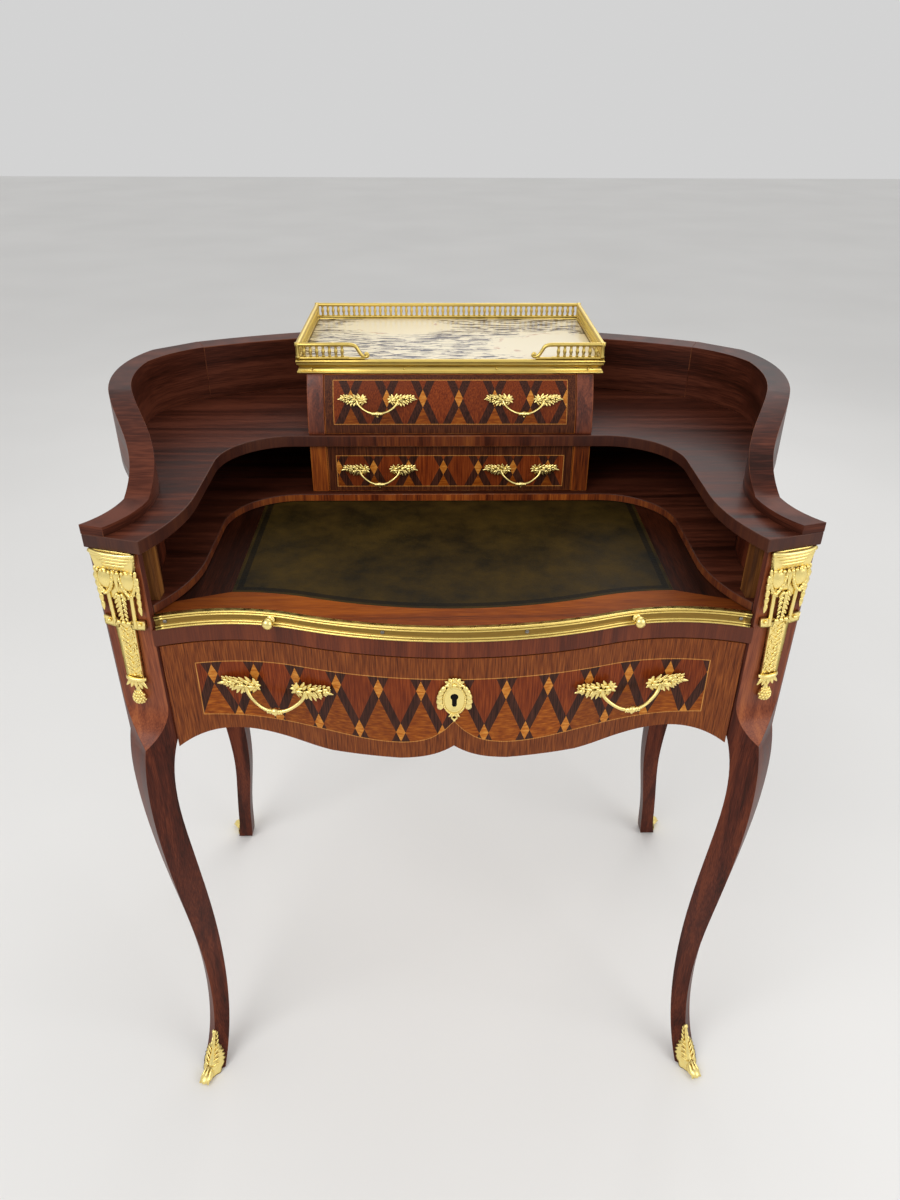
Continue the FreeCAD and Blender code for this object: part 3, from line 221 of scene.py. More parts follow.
@dataclass(frozen=True)
class Marquetry(Finish):
    """Lozenge marquetry: dark strips crossing in light diamonds, red and golden cells, a light string."""

    pitch: float
    phase: float
    top_row: float
    drop: float
    panel_end: float
    string_top: float
    string_foot: tuple[tuple[float, float], ...]
    strip: float = 9.8 * MM
    string: float = 0.5 * MM
    # least share of dark brown mixed into each cell, raised to darken the small fronts
    age: float = 0.0
    border: tuple[str, str, str] = ("#4c2310", "#713818", "#905022")

    def paint(self, tree: bpy.types.NodeTree) -> bpy.types.Node:
        """Add the nodes of the laid pattern.

        Args:
            tree: node tree that takes them.

        Returns:
            The shader of the laid pattern.
        """
        place = add_node(tree, "TexCoord").outputs["Object"]
        axes = add_node(tree, "SeparateXYZ", {0: place})
        across, height = axes.outputs["X"], axes.outputs["Z"]
        run = add_node(tree, "Math", {0: across, 1: 1 / self.pitch, 2: -self.phase / self.pitch},
                       operation="MULTIPLY_ADD")
        rise = add_node(tree, "Math", {0: height, 1: 0.5 / self.drop, 2: -self.top_row * 0.5 / self.drop},
                        operation="MULTIPLY_ADD")
        near, cell = [], []
        for way in ("ADD", "SUBTRACT"):
            lean = add_node(tree, "Math", {0: run, 1: rise}, operation=way)
            apart = add_node(tree, "Math", {0: lean, 1: 0.5}, operation="PINGPONG")
            near.append(add_node(tree, "Math", {0: apart, 1: self.strip / self.pitch / 2},
                                 operation="LESS_THAN"))
            cell.append(add_node(tree, "Math", {0: lean}, operation="FLOOR"))
        strips = add_node(tree, "Math", {0: near[0], 1: near[1]}, operation="MAXIMUM")
        diamond = add_node(tree, "Math", {0: near[0], 1: near[1]}, operation="MULTIPLY")
        level = add_node(tree, "Math", {0: cell[0], 1: cell[1]}, operation="SUBTRACT")
        golden = add_node(tree, "Math", {0: level, 1: -1.0, 2: 0.25}, operation="COMPARE")
        upright = add_node(tree, "Mapping", {"Vector": place, "Scale": Grain.UPRIGHT.value})
        flat = add_node(tree, "Mapping", {"Vector": place, "Scale": (0.2, 1.0, 1.0)})
        fine = add_node(tree, "TexNoise", {"Vector": upright, "Scale": 1 / (1.0 * MM), "Detail": 3.0})
        mottle = add_node(tree, "TexNoise", {"Vector": flat, "Scale": 1 / (2.2 * MM), "Detail": 3.0})
        red = add_node(tree, "ValToRGB", {0: fine},
                       stops=((0.32, "#5c210b"), (0.70, "#934418"), (0.5, "#783110")))
        gold = add_node(tree, "ValToRGB", {0: mottle},
                        stops=((0.32, "#76340a"), (0.70, "#aa5e19"), (0.5, "#8e460e")))
        black = add_node(tree, "ValToRGB", {0: fine}, stops=((0.35, "#26120b"), (0.70, "#4c291d")))
        pale = add_node(tree, "ValToRGB", {0: mottle}, stops=((0.35, "#a65c18"), (0.70, "#d08c3c")))
        band = add_node(tree, "ValToRGB", {0: fine},
                        stops=((0.30, self.border[0]), (0.72, self.border[2]), (0.5, self.border[1])))
        line = add_node(tree, "ValToRGB", {0: fine}, stops=((0.35, "#a4652b"), (0.65, "#c48a48")))
        corner = add_node(tree, "CombineXYZ", {0: cell[0], 1: cell[1]})
        chance = add_node(tree, "TexWhiteNoise", {"Vector": corner}, noise_dimensions="3D")
        shade = add_node(tree, "MapRange", {"Value": chance.outputs["Value"], "To Min": self.age,
                                            "To Max": self.age + 0.32})
        margin = self.add_margin(tree, across, height)
        outside = add_node(tree, "Math", {0: margin, 1: 0.0}, operation="LESS_THAN")
        strung = add_node(tree, "Math", {0: margin, 1: 0.0, 2: self.string}, operation="COMPARE")
        colour = red
        for share, over in ((golden, gold), (shade, linear("#4a2010")), (strips, black), (diamond, pale),
                            (outside, band), (strung, line)):
            colour = add_node(tree, "Mix", {0: share, 6: colour, 7: over}, data_type="RGBA").outputs[2]
        skin = add_node(tree, "Bump", {"Height": fine, "Strength": 0.10, "Distance": 0.3 * MM})
        dull = add_node(tree, "MapRange", {"Value": mottle, "To Min": 0.26, "To Max": 0.46})
        return add_node(tree, "BsdfPrincipled", {
            "Base Color": colour, "Roughness": dull.outputs[0], "Normal": skin, "IOR": 1.5,
            "Specular IOR Level": 0.12, "Coat Weight": 0.06, "Coat Roughness": 0.16})

    def add_margin(self, tree: bpy.types.NodeTree, across: bpy.types.NodeSocket,
                   height: bpy.types.NodeSocket) -> bpy.types.Node:
        """Add the distance to the string that frames the lozenges.

        Args:
            tree: node tree that takes the nodes.
            across: place along the front.
            height: place above the floor.

        Returns:
            Node that gives the distance, above zero inside the string.
        """
        floor = min(z for _, z in self.string_foot) - 10 * MM
        span, reach = self.string_foot[-1][0], 100 * MM
        aside = add_node(tree, "Math", {0: across}, operation="ABSOLUTE")
        share = add_node(tree, "Math", {0: aside, 1: span}, operation="DIVIDE")
        foot = add_node(tree, "FloatCurve", {"Value": share})
        curve = foot.mapping.curves[0]
        for index, (x, z) in enumerate(self.string_foot):
            knot = (x / span, (z - floor) / reach)
            if index == 0:
                curve.points[0].location = knot
            elif index == len(self.string_foot) - 1:
                curve.points[-1].location = knot
            else:
                curve.points.new(*knot)
        foot.mapping.update()
        sill = add_node(tree, "Math", {0: foot, 1: reach, 2: floor}, operation="MULTIPLY_ADD")
        above = add_node(tree, "Math", {0: height, 1: sill}, operation="SUBTRACT")
        below = add_node(tree, "Math", {0: self.string_top, 1: height}, operation="SUBTRACT")
        within = add_node(tree, "Math", {0: self.panel_end, 1: aside}, operation="SUBTRACT")
        nearer = add_node(tree, "Math", {0: above, 1: below}, operation="MINIMUM")
        return add_node(tree, "Math", {0: nearer, 1: within}, operation="MINIMUM")


@dataclass(frozen=True)
class Gilding(Finish):
    """Cast and mercury-gilt or lacquered brass: bright on the raised work, brown in the hollows."""

    bright: str
    tarnish: str
    roughness: float
    # the punch marks of real chasing are too fine to show, so they are drawn about three times as wide
    stipple: float = 0.9 * MM
    hollow: float = 4.0 * MM

    def paint(self, tree: bpy.types.NodeTree) -> bpy.types.Node:
        """Add the nodes of the gilt metal.

        Args:
            tree: node tree that takes them.

        Returns:
            The shader of the gilt metal.
        """
        place = add_node(tree, "TexCoord").outputs["Object"]
        open_sky = add_node(tree, "AmbientOcclusion", {"Distance": self.hollow}, samples=6)
        patch = add_node(tree, "TexNoise", {"Vector": place, "Scale": 1 / (9 * MM), "Detail": 4.0})
        rub = add_node(tree, "Math", {0: patch, 1: 0.55, 2: open_sky.outputs["AO"]},
                       operation="MULTIPLY_ADD")
        colour = add_node(tree, "ValToRGB", {0: rub}, stops=((0.48, self.tarnish), (0.88, self.bright)))
        grain = add_node(tree, "TexNoise", {"Vector": place, "Scale": 1 / self.stipple, "Detail": 1.0})
        skin = add_node(tree, "Bump", {"Height": grain, "Strength": 0.22, "Distance": 0.3 * MM})
        dull = add_node(tree, "MapRange", {"Value": patch, "From Min": 0.3, "From Max": 0.7,
                                           "To Min": self.roughness - 0.06, "To Max": self.roughness + 0.12})
        return add_node(tree, "BsdfPrincipled", {
            "Base Color": colour, "Metallic": 1.0, "Roughness": dull.outputs[0], "Normal": skin})


@dataclass(frozen=True)
class Marble(Finish):
    """Polished cream breccia: short grey-violet dashes along X, two clear pale ovals, rosy veins round them."""

    dash: float = 4.4 * MM
    # centre and half sizes of the clear ovals along X and Y
    ovals: tuple[tuple[float, float, float, float], ...] = (
        (-67 * MM, 226 * MM, 58 * MM, 42 * MM), (134 * MM, 126 * MM, 72 * MM, 56 * MM))

    def paint(self, tree: bpy.types.NodeTree) -> bpy.types.Node:
        """Add the nodes of the slab.

        Args:
            tree: node tree that takes them.

        Returns:
            The shader of the slab.
        """
        place = add_node(tree, "TexCoord").outputs["Object"]
        stir = add_node(tree, "TexNoise", {"Vector": place, "Scale": 1 / (40 * MM), "Detail": 3.0})
        apart = None
        for x, y, long, deep in self.ovals:
            local = add_node(tree, "Mapping", {"Vector": place, "Location": (-x / long, -y / deep, 0.0),
                                               "Scale": (1 / long, 1 / deep, 0.0)})
            off = add_node(tree, "VectorMath", {0: local}, operation="LENGTH").outputs["Value"]
            apart = off if apart is None else add_node(tree, "Math", {0: apart, 1: off}, operation="MINIMUM")
        edge = add_node(tree, "Math", {0: stir, 1: 0.9, 2: apart}, operation="MULTIPLY_ADD")
        cover = add_node(tree, "MapRange", {"Value": edge, "From Min": 1.34, "From Max": 1.75, "To Min": -0.20,
                                            "To Max": 0.035})
        drawn = add_node(tree, "Mapping", {"Vector": place, "Scale": (0.16, 1.0, 1.0),
                                           "Rotation": (0.0, 0.0, 0.05)})
        dashes = add_node(tree, "TexNoise", {"Vector": drawn, "Scale": 1 / self.dash, "Detail": 2.5,
                                             "Roughness": 0.6, "Distortion": 0.9})
        depth = add_node(tree, "Math", {0: dashes, 1: cover.outputs[0]}, operation="ADD")
        ground = add_node(tree, "ValToRGB", {0: depth}, stops=(
            (0.530, "#e6d9b8"), (0.60, "#332a32"), (0.548, "#c4b7a2"), (0.57, "#5c5057")))
        ring = add_node(tree, "Math", {0: edge, 1: 1.46, 2: 0.035}, operation="COMPARE")
        blush = add_node(tree, "TexNoise", {"Vector": place, "Scale": 1 / (14 * MM), "Detail": 3.0})
        patchy = add_node(tree, "MapRange", {"Value": blush, "From Min": 0.48, "From Max": 0.66, "To Max": 0.7})
        faint = add_node(tree, "Math", {0: ring, 1: patchy.outputs[0]}, operation="MULTIPLY")
        colour = add_node(tree, "Mix", {0: faint, 6: ground, 7: linear("#b0745c")}, data_type="RGBA")
        return add_node(tree, "BsdfPrincipled", {
            "Base Color": colour.outputs[2], "Roughness": 0.24, "IOR": 1.5, "Subsurface Weight": 0.05,
            "Subsurface Radius": (2 * MM, 1.6 * MM, 1.2 * MM), "Coat Weight": 0.1})


@dataclass(frozen=True)
class Skiver(Finish):
    """Thin split sheepskin, dyed and glaced: a soft pebble and darker scuffs."""

    dark: str = "#1d1606"
    light: str = "#40300d"
    # twice as wide as on real skin, where it would be too fine to show
    pebble: float = 1.6 * MM
    depth: float = 0.25 * MM

    def paint(self, tree: bpy.types.NodeTree) -> bpy.types.Node:
        """Add the nodes of the leather.

        Args:
            tree: node tree that takes them.

        Returns:
            The shader of the leather.
        """
        place = add_node(tree, "TexCoord").outputs["Object"]
        pores = add_node(tree, "TexVoronoi", {"Vector": place, "Scale": 1 / self.pebble},
                         feature="SMOOTH_F1")
        scuff = add_node(tree, "TexNoise", {"Vector": place, "Scale": 1 / (45 * MM), "Detail": 6.0,
                                            "Roughness": 0.65})
        colour = add_node(tree, "ValToRGB", {0: scuff}, stops=((0.34, self.dark), (0.72, self.light)))
        skin = add_node(tree, "Bump", {"Height": pores.outputs["Distance"], "Strength": 0.35,
                                       "Distance": self.depth})
        dull = add_node(tree, "MapRange", {"Value": scuff, "To Min": 0.42, "To Max": 0.70})
        return add_node(tree, "BsdfPrincipled", {
            "Base Color": colour, "Roughness": dull.outputs[0], "Normal": skin, "IOR": 1.45,
            "Specular IOR Level": 0.12})


@dataclass(frozen=True)
class Steel(Finish):
    """Filed lock steel gone grey-brown: long scratches and a dull shine."""

    # file marks, drawn wider than real ones so that they show
    scratch: float = 0.8 * MM

    def paint(self, tree: bpy.types.NodeTree) -> bpy.types.Node:
        """Add the nodes of the steel.

        Args:
            tree: node tree that takes them.

        Returns:
            The shader of the steel.
        """
        place = add_node(tree, "TexCoord").outputs["Object"]
        drawn = add_node(tree, "Mapping", {"Vector": place, "Scale": Grain.ALONG_X.value})
        lines = add_node(tree, "TexNoise", {"Vector": drawn, "Scale": 1 / self.scratch, "Detail": 3.0})
        colour = add_node(tree, "ValToRGB", {0: lines}, stops=((0.35, "#6a6259"), (0.68, "#a39d94")))
        skin = add_node(tree, "Bump", {"Height": lines, "Strength": 0.2, "Distance": 0.2 * MM})
        return add_node(tree, "BsdfPrincipled", {
            "Base Color": colour, "Metallic": 1.0, "Roughness": 0.42, "Normal": skin})


@dataclass(frozen=True)
class Plaster(Finish):
    """Matt distempered floor: nearly white, with a faint cloudiness."""

    def paint(self, tree: bpy.types.NodeTree) -> bpy.types.Node:
        """Add the nodes of the floor.

        Args:
            tree: node tree that takes them.

        Returns:
            The shader of the floor.
        """
        place = add_node(tree, "TexCoord").outputs["Object"]
        cloud = add_node(tree, "TexNoise", {"Vector": place, "Scale": 1.2, "Detail": 2.0})
        colour = add_node(tree, "ValToRGB", {0: cloud}, stops=((0.3, "#e2e1df"), (0.7, "#e7e6e4")))
        return add_node(tree, "BsdfPrincipled", {"Base Color": colour, "Roughness": 0.8, "IOR": 1.4})


# Kingwood on the posts and panels: close violet-brown stripes under a deep polish.
KINGWOOD = Wood("kingwood_polished", "#2d130b", "#4a1f13", "#66301c", Grain.UPRIGHT, figure=20 * MM,
                polish=0.05, shine=0.1)
# The canted corners of the front legs: a lighter, redder tone, painted as the sheen that they catch.
SHEEN_VENEER = Wood("mahogany_painted_sheen", "#5c2816", "#7e3f24", "#99552f", Grain.UPRIGHT, figure=20 * MM,
                   polish=0.08)
# Kingwood laid with the fibre level, on rims and back: long dark streaks.
KINGWOOD_LEVEL = replace(KINGWOOD, name="kingwood_laid_level", dark="#29120b", middle="#452015",
                         light="#613222", grain=Grain.LEVEL)
# Kingwood boards that run across the desk.
KINGWOOD_ACROSS = replace(KINGWOOD_LEVEL, name="kingwood_laid_across", grain=Grain.ALONG_X)
# Tulipwood cross-banding on the lips: orange-brown, fibre upright, striped every few millimetres.
TULIPWOOD = Wood("tulipwood_cross_band", "#43190a", "#7a3812", "#a4581c", Grain.UPRIGHT,
                 fibre=1.4 * MM, figure=22 * MM, bare="#a5703c")
# The same banding round the slide, orange in the middle, with painted shade that turns it plum at the front
# ends.
TULIPWOOD_END_SHADED = replace(TULIPWOOD, name="tulipwood_band_painted_end_shade", dark="#4c1d0b", middle="#823c14",
                          light="#a85a1e", ends="#44261f")
# The same banding on the shelf, darker overall, with painted shade that darkens it further towards its ends.
TULIPWOOD_DARK_END_SHADED = replace(TULIPWOOD, name="tulipwood_dark_band_painted_end_shade", dark="#3a170b", middle="#602b14",
                           light="#80431b", bare="#80523a", ends="#3a211c", shade_span=(60 * MM, 170 * MM))
# Mahogany of the cabinet sides: even red-brown.
MAHOGANY = Wood("mahogany_polished", "#3c190f", "#5e2a19", "#7c3f26", Grain.UPRIGHT, polish=0.25, shine=0.3)
# The rail over the long drawer: an even red-brown, with painted shade that darkens it towards its ends.
MAHOGANY_RAIL = replace(MAHOGANY, name="mahogany_rail", dark="#4a1e0e", middle="#602913", light="#763719",
                        figure=20 * MM, polish=0.1, shine=0.2, ends="#552a1c")
# Mahogany board of the slide, fibre across the desk: orange-brown, with painted shade that darkens it towards
# its ends.
SLIDE_WOOD = Wood("mahogany_slide_board", "#522105", "#783609", "#964c10", Grain.ALONG_X, figure=26 * MM,
                  roughness=0.46, polish=0.02, shine=0.08, ends="#3d1a0c")
# The slide's side borders, fibre front to back, mitred veneer: their much darker tone is painted shade.
SLIDE_BORDER_SHADED = replace(SLIDE_WOOD, name="mahogany_slide_border_painted_shade", dark="#150602", middle="#280e05",
                       light="#3e1a0b", grain=Grain.ALONG_Y, ends="")
# Oak of the drawer linings: pale, open-pored and unpolished.
OAK = Wood("oak_planed", "#7d5a34", "#a47c4c", "#c29a66", Grain.ALONG_X, fibre=1.3 * MM,
           roughness=0.62, polish=0.0, bare="#cfae7e")
# The same oak with its fibre from front to back.
OAK_DEEP = replace(OAK, name="oak_planed_front_to_back", grain=Grain.ALONG_Y)
# Offcut of beech behind the posts, a darker brown than the oak.
GLUE_BLOCK = replace(OAK, name="beech_glue_block", dark="#46260f", middle="#6c4019", light="#8a5a28",
                     grain=Grain.UPRIGHT)
# Mercury gilding on chased brass: pale yellow on the high work.
GILT = Gilding("gilt_chased_brass", "#ffe996", "#9a6f26", 0.30)
# Brass of the gallery and its moulding, its gilding worn: a deeper olive gold.
GALLERY_BRASS = Gilding("brass_aged_gallery", "#e2c66e", "#6e5018", 0.34)
# Lacquered rolled brass of the slide edge: smooth and bright yellow.
BRASS = Gilding("brass_lacquered_edge", "#f2d67c", "#7a5a22", 0.28)
# The same brass in the groove, browned where no cloth reaches.
BRASS_GROOVE = Gilding("brass_browned_groove", "#97783a", "#4a3513", 0.38)
# Polished cream breccia: pale and glossy, its dark dashes all running across the desk.
MARBLE = Marble("marble_cream_dashed")
# Sheepskin dyed olive: nearly matt, softly pebbled, with darker scuffs.
LEATHER = Skiver("leather_olive_skiver")
# The tooled band round the leather, pressed with warm irons: darker, with a coarser grain.
LEATHER_TOOLED = replace(LEATHER, name="leather_blind_tooled", dark="#0d0a03", light="#241a08", pebble=3.4 * MM,
                         depth=0.8 * MM)
# Filed steel of the lock and the screws: grey, with fine scratches and a dull shine.
STEEL = Steel("steel_filed")
# The unlit inside of the lock: a dull black-brown hole.
KEYHOLE = Wood("keyhole_shadow", "#060403", "#0a0705", "#0f0a08", Grain.UPRIGHT, roughness=0.9, polish=0.0)


def hand_over(bm: BMesh, name: str, body: Body, finishes: Sequence[Finish],
              stands_for: Sequence[str]) -> bpy.types.Object:
    """Make a finished piece of a mesh and tie it to the frame.

    Args:
        bm: mesh with its place in its vertices; it is freed.
        name: name of the piece.
        body: body that it rides on.
        finishes: finish of each material number of the mesh.
        stands_for: nodes that it replaces.

    Returns:
        The piece's object.
    """
    mesh = bpy.data.meshes.new(name)
    for face in bm.faces:
        face.smooth = True
    bm.to_mesh(mesh)
    bm.free()
    for finish in finishes:
        mesh.materials.append(finish.material())
    piece = bpy.data.objects.new(name, mesh)
    bpy.context.scene.collection.objects.link(piece)
    evened = piece.modifiers.new("even_normals", "WEIGHTED_NORMAL")
    evened.keep_sharp = True
    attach(piece, body.value)
    if stands_for:
        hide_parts(*stands_for)
    log.info("%s: %d faces", name, len(mesh.polygons))
    return piece


# Edges sharper than the first are rubbed round; those flatter than the second only part facets of one face.
SHARP_EDGE = math.radians(32)
FLAT_EDGE = math.radians(0.6)
# Points of a node's loose triangles that are closer than this are one point.
SAME_POINT = 0.01 * MM


def rub_down(node: str, body: Body, wood: Finish, edge: Finish, arris: float = 0.9 * MM,
             lip: Finish | None = None, grounded: float = 0.0) -> bpy.types.Object:
    """Copy a wooden node with its sharp edges rubbed round, and put the copy in its place.

    Args:
        node: node of the frame.
        body: body that it belongs to.
        wood: finish of its faces.
        edge: finish of the rubbed edges.
        arris: width taken off each edge.
        lip: finish of its upright faces, where they are banded.
        grounded: height below which its end is brought down to the floor.

    Returns:
        The piece's object.
    """
    bm = bmesh.new()
    bm.from_mesh(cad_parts[node].data)
    bmesh.ops.remove_doubles(bm, verts=bm.verts, dist=SAME_POINT)
    for vert in bm.verts:
        if vert.co.z < grounded:
            vert.co.z = 0.0
    bmesh.ops.dissolve_limit(bm, angle_limit=FLAT_EDGE, verts=bm.verts, edges=bm.edges)
    sharp = [e for e in bm.edges if len(e.link_faces) == 2 and e.calc_face_angle() > SHARP_EDGE]
    made = bmesh.ops.bevel(bm, geom=sharp, offset=arris, segments=2, profile=0.5, affect="EDGES",
                           clamp_overlap=True, material=-1)
    low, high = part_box(node)
    for vert in bm.verts:
        vert.co = Vector(min(max(vert.co[axis], low[axis]), high[axis]) for axis in range(3))
    for face in bm.faces:
        face.material_index = 2 if lip and abs(face.normal.z) < 0.5 else 0
    for face in made["faces"]:
        face.material_index = 1
    finishes = (wood, edge, lip) if lip else (wood, edge)
    return hand_over(bm, node + "_veneered", body, finishes, (node,))


def dress(node: str, finish: Finish) -> None:
    """Give a node of the frame its finish, in each of its material slots."""
    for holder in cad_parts[node].material_slots:
        holder.material = finish.material()


def aim(at: Sequence[float], along: Sequence[float], facing: Sequence[float]) -> Matrix:
    """Place a local Z axis along one direction with local Y towards another.

    Args:
        at: place of the origin.
        along: direction of local Z.
        facing: direction that local Y leans to.

    Returns:
        The placing matrix.
    """
    up = Vector(along).normalized()
    side = Vector(facing).cross(up).normalized()
    return Matrix.Translation(Vector(at)) @ Matrix((side, up.cross(side), up)).transposed().to_4x4()


def eased(points: Sequence[Sequence[float]], steps: int) -> list[Vector]:
    """Ease a row of points into a smooth line that passes through each of them.

    Args:
        points: points of the line.
        steps: spans between one point and the next.

    Returns:
        Points of the smooth line.
    """
    knots = [Vector(p) for p in points]
    line = []
    for index in range(len(knots) - 1):
        before, after = knots[max(index - 1, 0)], knots[min(index + 2, len(knots) - 1)]
        start, end = knots[index], knots[index + 1]
        for step in range(steps):
            t = step / steps
            pull = (end - before) * (t - 2 * t * t + t ** 3) + (after - start) * (t ** 3 - t * t)
            line.append(start * (1 - 3 * t * t + 2 * t ** 3) + end * (3 * t * t - 2 * t ** 3) + pull / 2)
    return line + [knots[-1]]


class Casting:
    """A cast or turned mount in the making: local X across, local -Y outward, local Z up."""

    def __init__(self) -> None:
        """Start with an empty mesh at the origin."""
        self.bm = bmesh.new()
        self.place = Matrix.Identity(4)

    def carry(self, frames: Sequence[Matrix], sides: int) -> BMFace:
        """Carry a polygon of unit radius through a row of frames and leave a closed solid.

        Args:
            frames: place and scale of each section.
            sides: corners of the polygon.

        Returns:
            The face that closes the far end.
        """
        rings = [self.place @ section for section in frames]
        start = bmesh.ops.create_circle(self.bm, cap_ends=True, segments=sides, radius=1.0, matrix=rings[0])
        end = start["verts"][0].link_faces[0]
        for before, after in zip(rings, rings[1:]):
            end = self.push(end, after @ before.inverted())
        return end

    def push(self, face: BMFace, move: Matrix) -> BMFace:
        """Extrude a face and move the new one; only a first face stays behind, as the closed start.

        Args:
            face: face to extrude.
            move: how the new face is moved.

        Returns:
            The new face.
        """
        inside = all(len(edge.link_faces) > 1 for edge in face.edges)
        made = bmesh.ops.extrude_face_region(self.bm, geom=[face])["geom"]
        new = next(item for item in made if isinstance(item, BMFace))
        if inside and face.is_valid:
            bmesh.ops.delete(self.bm, geom=[face], context="FACES_ONLY")
        bmesh.ops.transform(self.bm, matrix=move, verts=list(new.verts))
        return new

    def loft(self, rings: Sequence[Sequence[Vector]]) -> BMFace:
        """Extrude a first outline and move its points on from ring to ring.

        Args:
            rings: outlines with the same number of points.

        Returns:
            The face that closes the far end.
        """
        verts = [self.bm.verts.new(self.place @ spot) for spot in rings[0]]
        face = self.bm.faces.new(verts)
        for ring in rings[1:]:
            order = {tuple(vert.co): index for index, vert in enumerate(verts)}
            face = self.push(face, Matrix.Identity(4))
            verts = sorted(face.verts, key=lambda vert: order[tuple(vert.co)])
            for vert, spot in zip(verts, ring):
                vert.co = self.place @ spot
        return face

    def turn(self, profile: Sequence[tuple[float, float]], at: Matrix, sides: int = 12) -> None:
        """Turn a profile about the local Z axis of a place.

        Args:
            profile: radius and height of each turn.
            at: place of the turning.
            sides: flats round the turning.
        """
        self.carry([at @ Matrix.Translation((0, 0, high)) @ Matrix.Diagonal((wide, wide, 1, 1))
                    for wide, high in profile], sides)

    def tube(self, path: Sequence[Sequence[float]], radii: Sequence[float], sides: int = 8,
             across: Sequence[float] = (0.0, 0.0, 1.0)) -> None:
        """Run a round bar along a path.

        Args:
            path: points of its middle line.
            radii: radius at the start, at the end and evenly between.
            sides: flats round the bar.
            across: a direction that the path never takes.
        """
        points = [Vector(p) for p in path]
        last = len(points) - 1
        frames = []
        for index, point in enumerate(points):
            share = index / last * (len(radii) - 1)
            low = min(int(share), len(radii) - 2) if len(radii) > 1 else 0
            radius = radii[low] + (radii[min(low + 1, len(radii) - 1)] - radii[low]) * (share - low)
            ahead = points[min(index + 1, last)] - points[max(index - 1, 0)]
            frames.append(aim(point, ahead, across) @ Matrix.Diagonal((radius, radius, 1, 1)))
        self.carry(frames, sides)

    def leaf(self, at: Sequence[float], along: Sequence[float], length: float, width: float, thick: float,
             facing: Sequence[float] = (0.0, -1.0, 0.0), taper: float = 0.7) -> None:
        """Add a plump leaf, round or pointed.

        Args:
            at: its root.
            along: direction of its tip.
            length: from root to tip.
            width: across its widest part.
            thick: from back to front.
            facing: direction that its front looks.
            taper: share of its width lost from root to tip.
        """
        verts = bmesh.ops.create_uvsphere(self.bm, u_segments=6, v_segments=5, radius=1.0)["verts"]
        for vert in verts:
            rise = (vert.co.z + 1) / 2
            slim = 1 + (0.22 - rise) * taper
            vert.co = Vector((vert.co.x * slim * width / 2, vert.co.y * slim * thick / 2, rise * length))
        bmesh.ops.transform(self.bm, matrix=self.place @ aim(at, along, facing), verts=verts)

    def bead(self, at: Sequence[float], radius: float, fine: int = 1,
             stretch: Sequence[float] = (1.0, 1.0, 1.0)) -> None:
        """Add a bead, with its radius drawn out along each axis by a stretch."""
        spot = self.place @ Matrix.Translation(Vector(at)) @ Matrix.Diagonal((*stretch, 1.0))
        bmesh.ops.create_icosphere(self.bm, subdivisions=fine, radius=radius, matrix=spot)

    def plate(self, outline: Sequence[tuple[float, float]], back: float, front: float,
              border: float = 0.0, sink: float = 0.0) -> None:
        """Cut a flat plate to an outline in X and Z, with a sunk field where it has a border.

        Args:
            outline: corners as X and Z.
            back: its back face, as a distance outward.
            front: its front face, as a distance outward.
            border: width of the raised border.
            sink: depth of the field inside the border.
        """
        verts = [self.bm.verts.new((x, -back, z)) for x, z in outline]
        face = self.bm.faces.new(verts)
        new = self.push(face, Matrix.Translation((0, back - front, 0)))
        everything = verts + list(new.verts)
        if border:
            bmesh.ops.inset_individual(self.bm, faces=[new], thickness=border, depth=0.0)
            bmesh.ops.translate(self.bm, vec=(0, sink, 0), verts=list(new.verts))
            everything += list(new.verts)
        bmesh.ops.transform(self.bm, matrix=self.place, verts=list(set(everything)))

    def hand_over(self, name: str, body: Body, stands_for: Sequence[str],
                  finishes: Sequence[Finish] = (GILT,), slot: Slot = Slot.GILT) -> bpy.types.Object:
        """Turn the normals outward and hand the mount over; see the function of the same name."""
        bmesh.ops.recalc_face_normals(self.bm, faces=self.bm.faces)
        return hand_over(self.bm, name, body, finishes, stands_for)


@dataclass(frozen=True)
class Serpentine:
    """Plan line of the front: a bow in the middle that runs into a hollow at each post."""

    bow_y: float = -268.592 * MM
    bow: float = 35.0 * MM
    bow_radius: float = 528.90 * MM
    hollow_x: float = 227.811 * MM
    hollow_radius: float = 230.0 * MM

    def y(self, x: float, inset: float) -> float:
        """Return how far back the line lies at a place across the desk.

        Args:
            x: place across the desk.
            inset: distance behind the foremost line.

        Returns:
            The Y of the line.
        """
        bow, hollow = self.bow_radius - inset, self.hollow_radius + inset
        if abs(x) <= self.hollow_x * bow / (bow + hollow):
            return self.bow_y + self.bow_radius - math.sqrt(bow * bow - x * x)
        reach = abs(x) - self.hollow_x
        return self.bow_y + self.bow - self.hollow_radius + math.sqrt(hollow * hollow - reach * reach)


FRONT = Serpentine()


@dataclass(frozen=True)
class LegSpot:
    """Where a leg stands and the way that its arris points."""

    name: str
    x: float
    y: float
    turn: float

    def matrix(self) -> Matrix:
        """Return the placing matrix whose local -Y axis points along the arris."""
        return Matrix.Translation((self.x, self.y, 0)) @ Matrix.Rotation(math.radians(self.turn), 4, "Z")


LEG_SPOTS = (
    LegSpot("front_left", -329 * MM, -230.592 * MM, -16.0),
    LegSpot("front_right", 329 * MM, -230.592 * MM, 16.0),
    LegSpot("rear_left", -362 * MM, 188 * MM, -135.0),
    LegSpot("rear_right", 362 * MM, 188 * MM, 135.0),
)


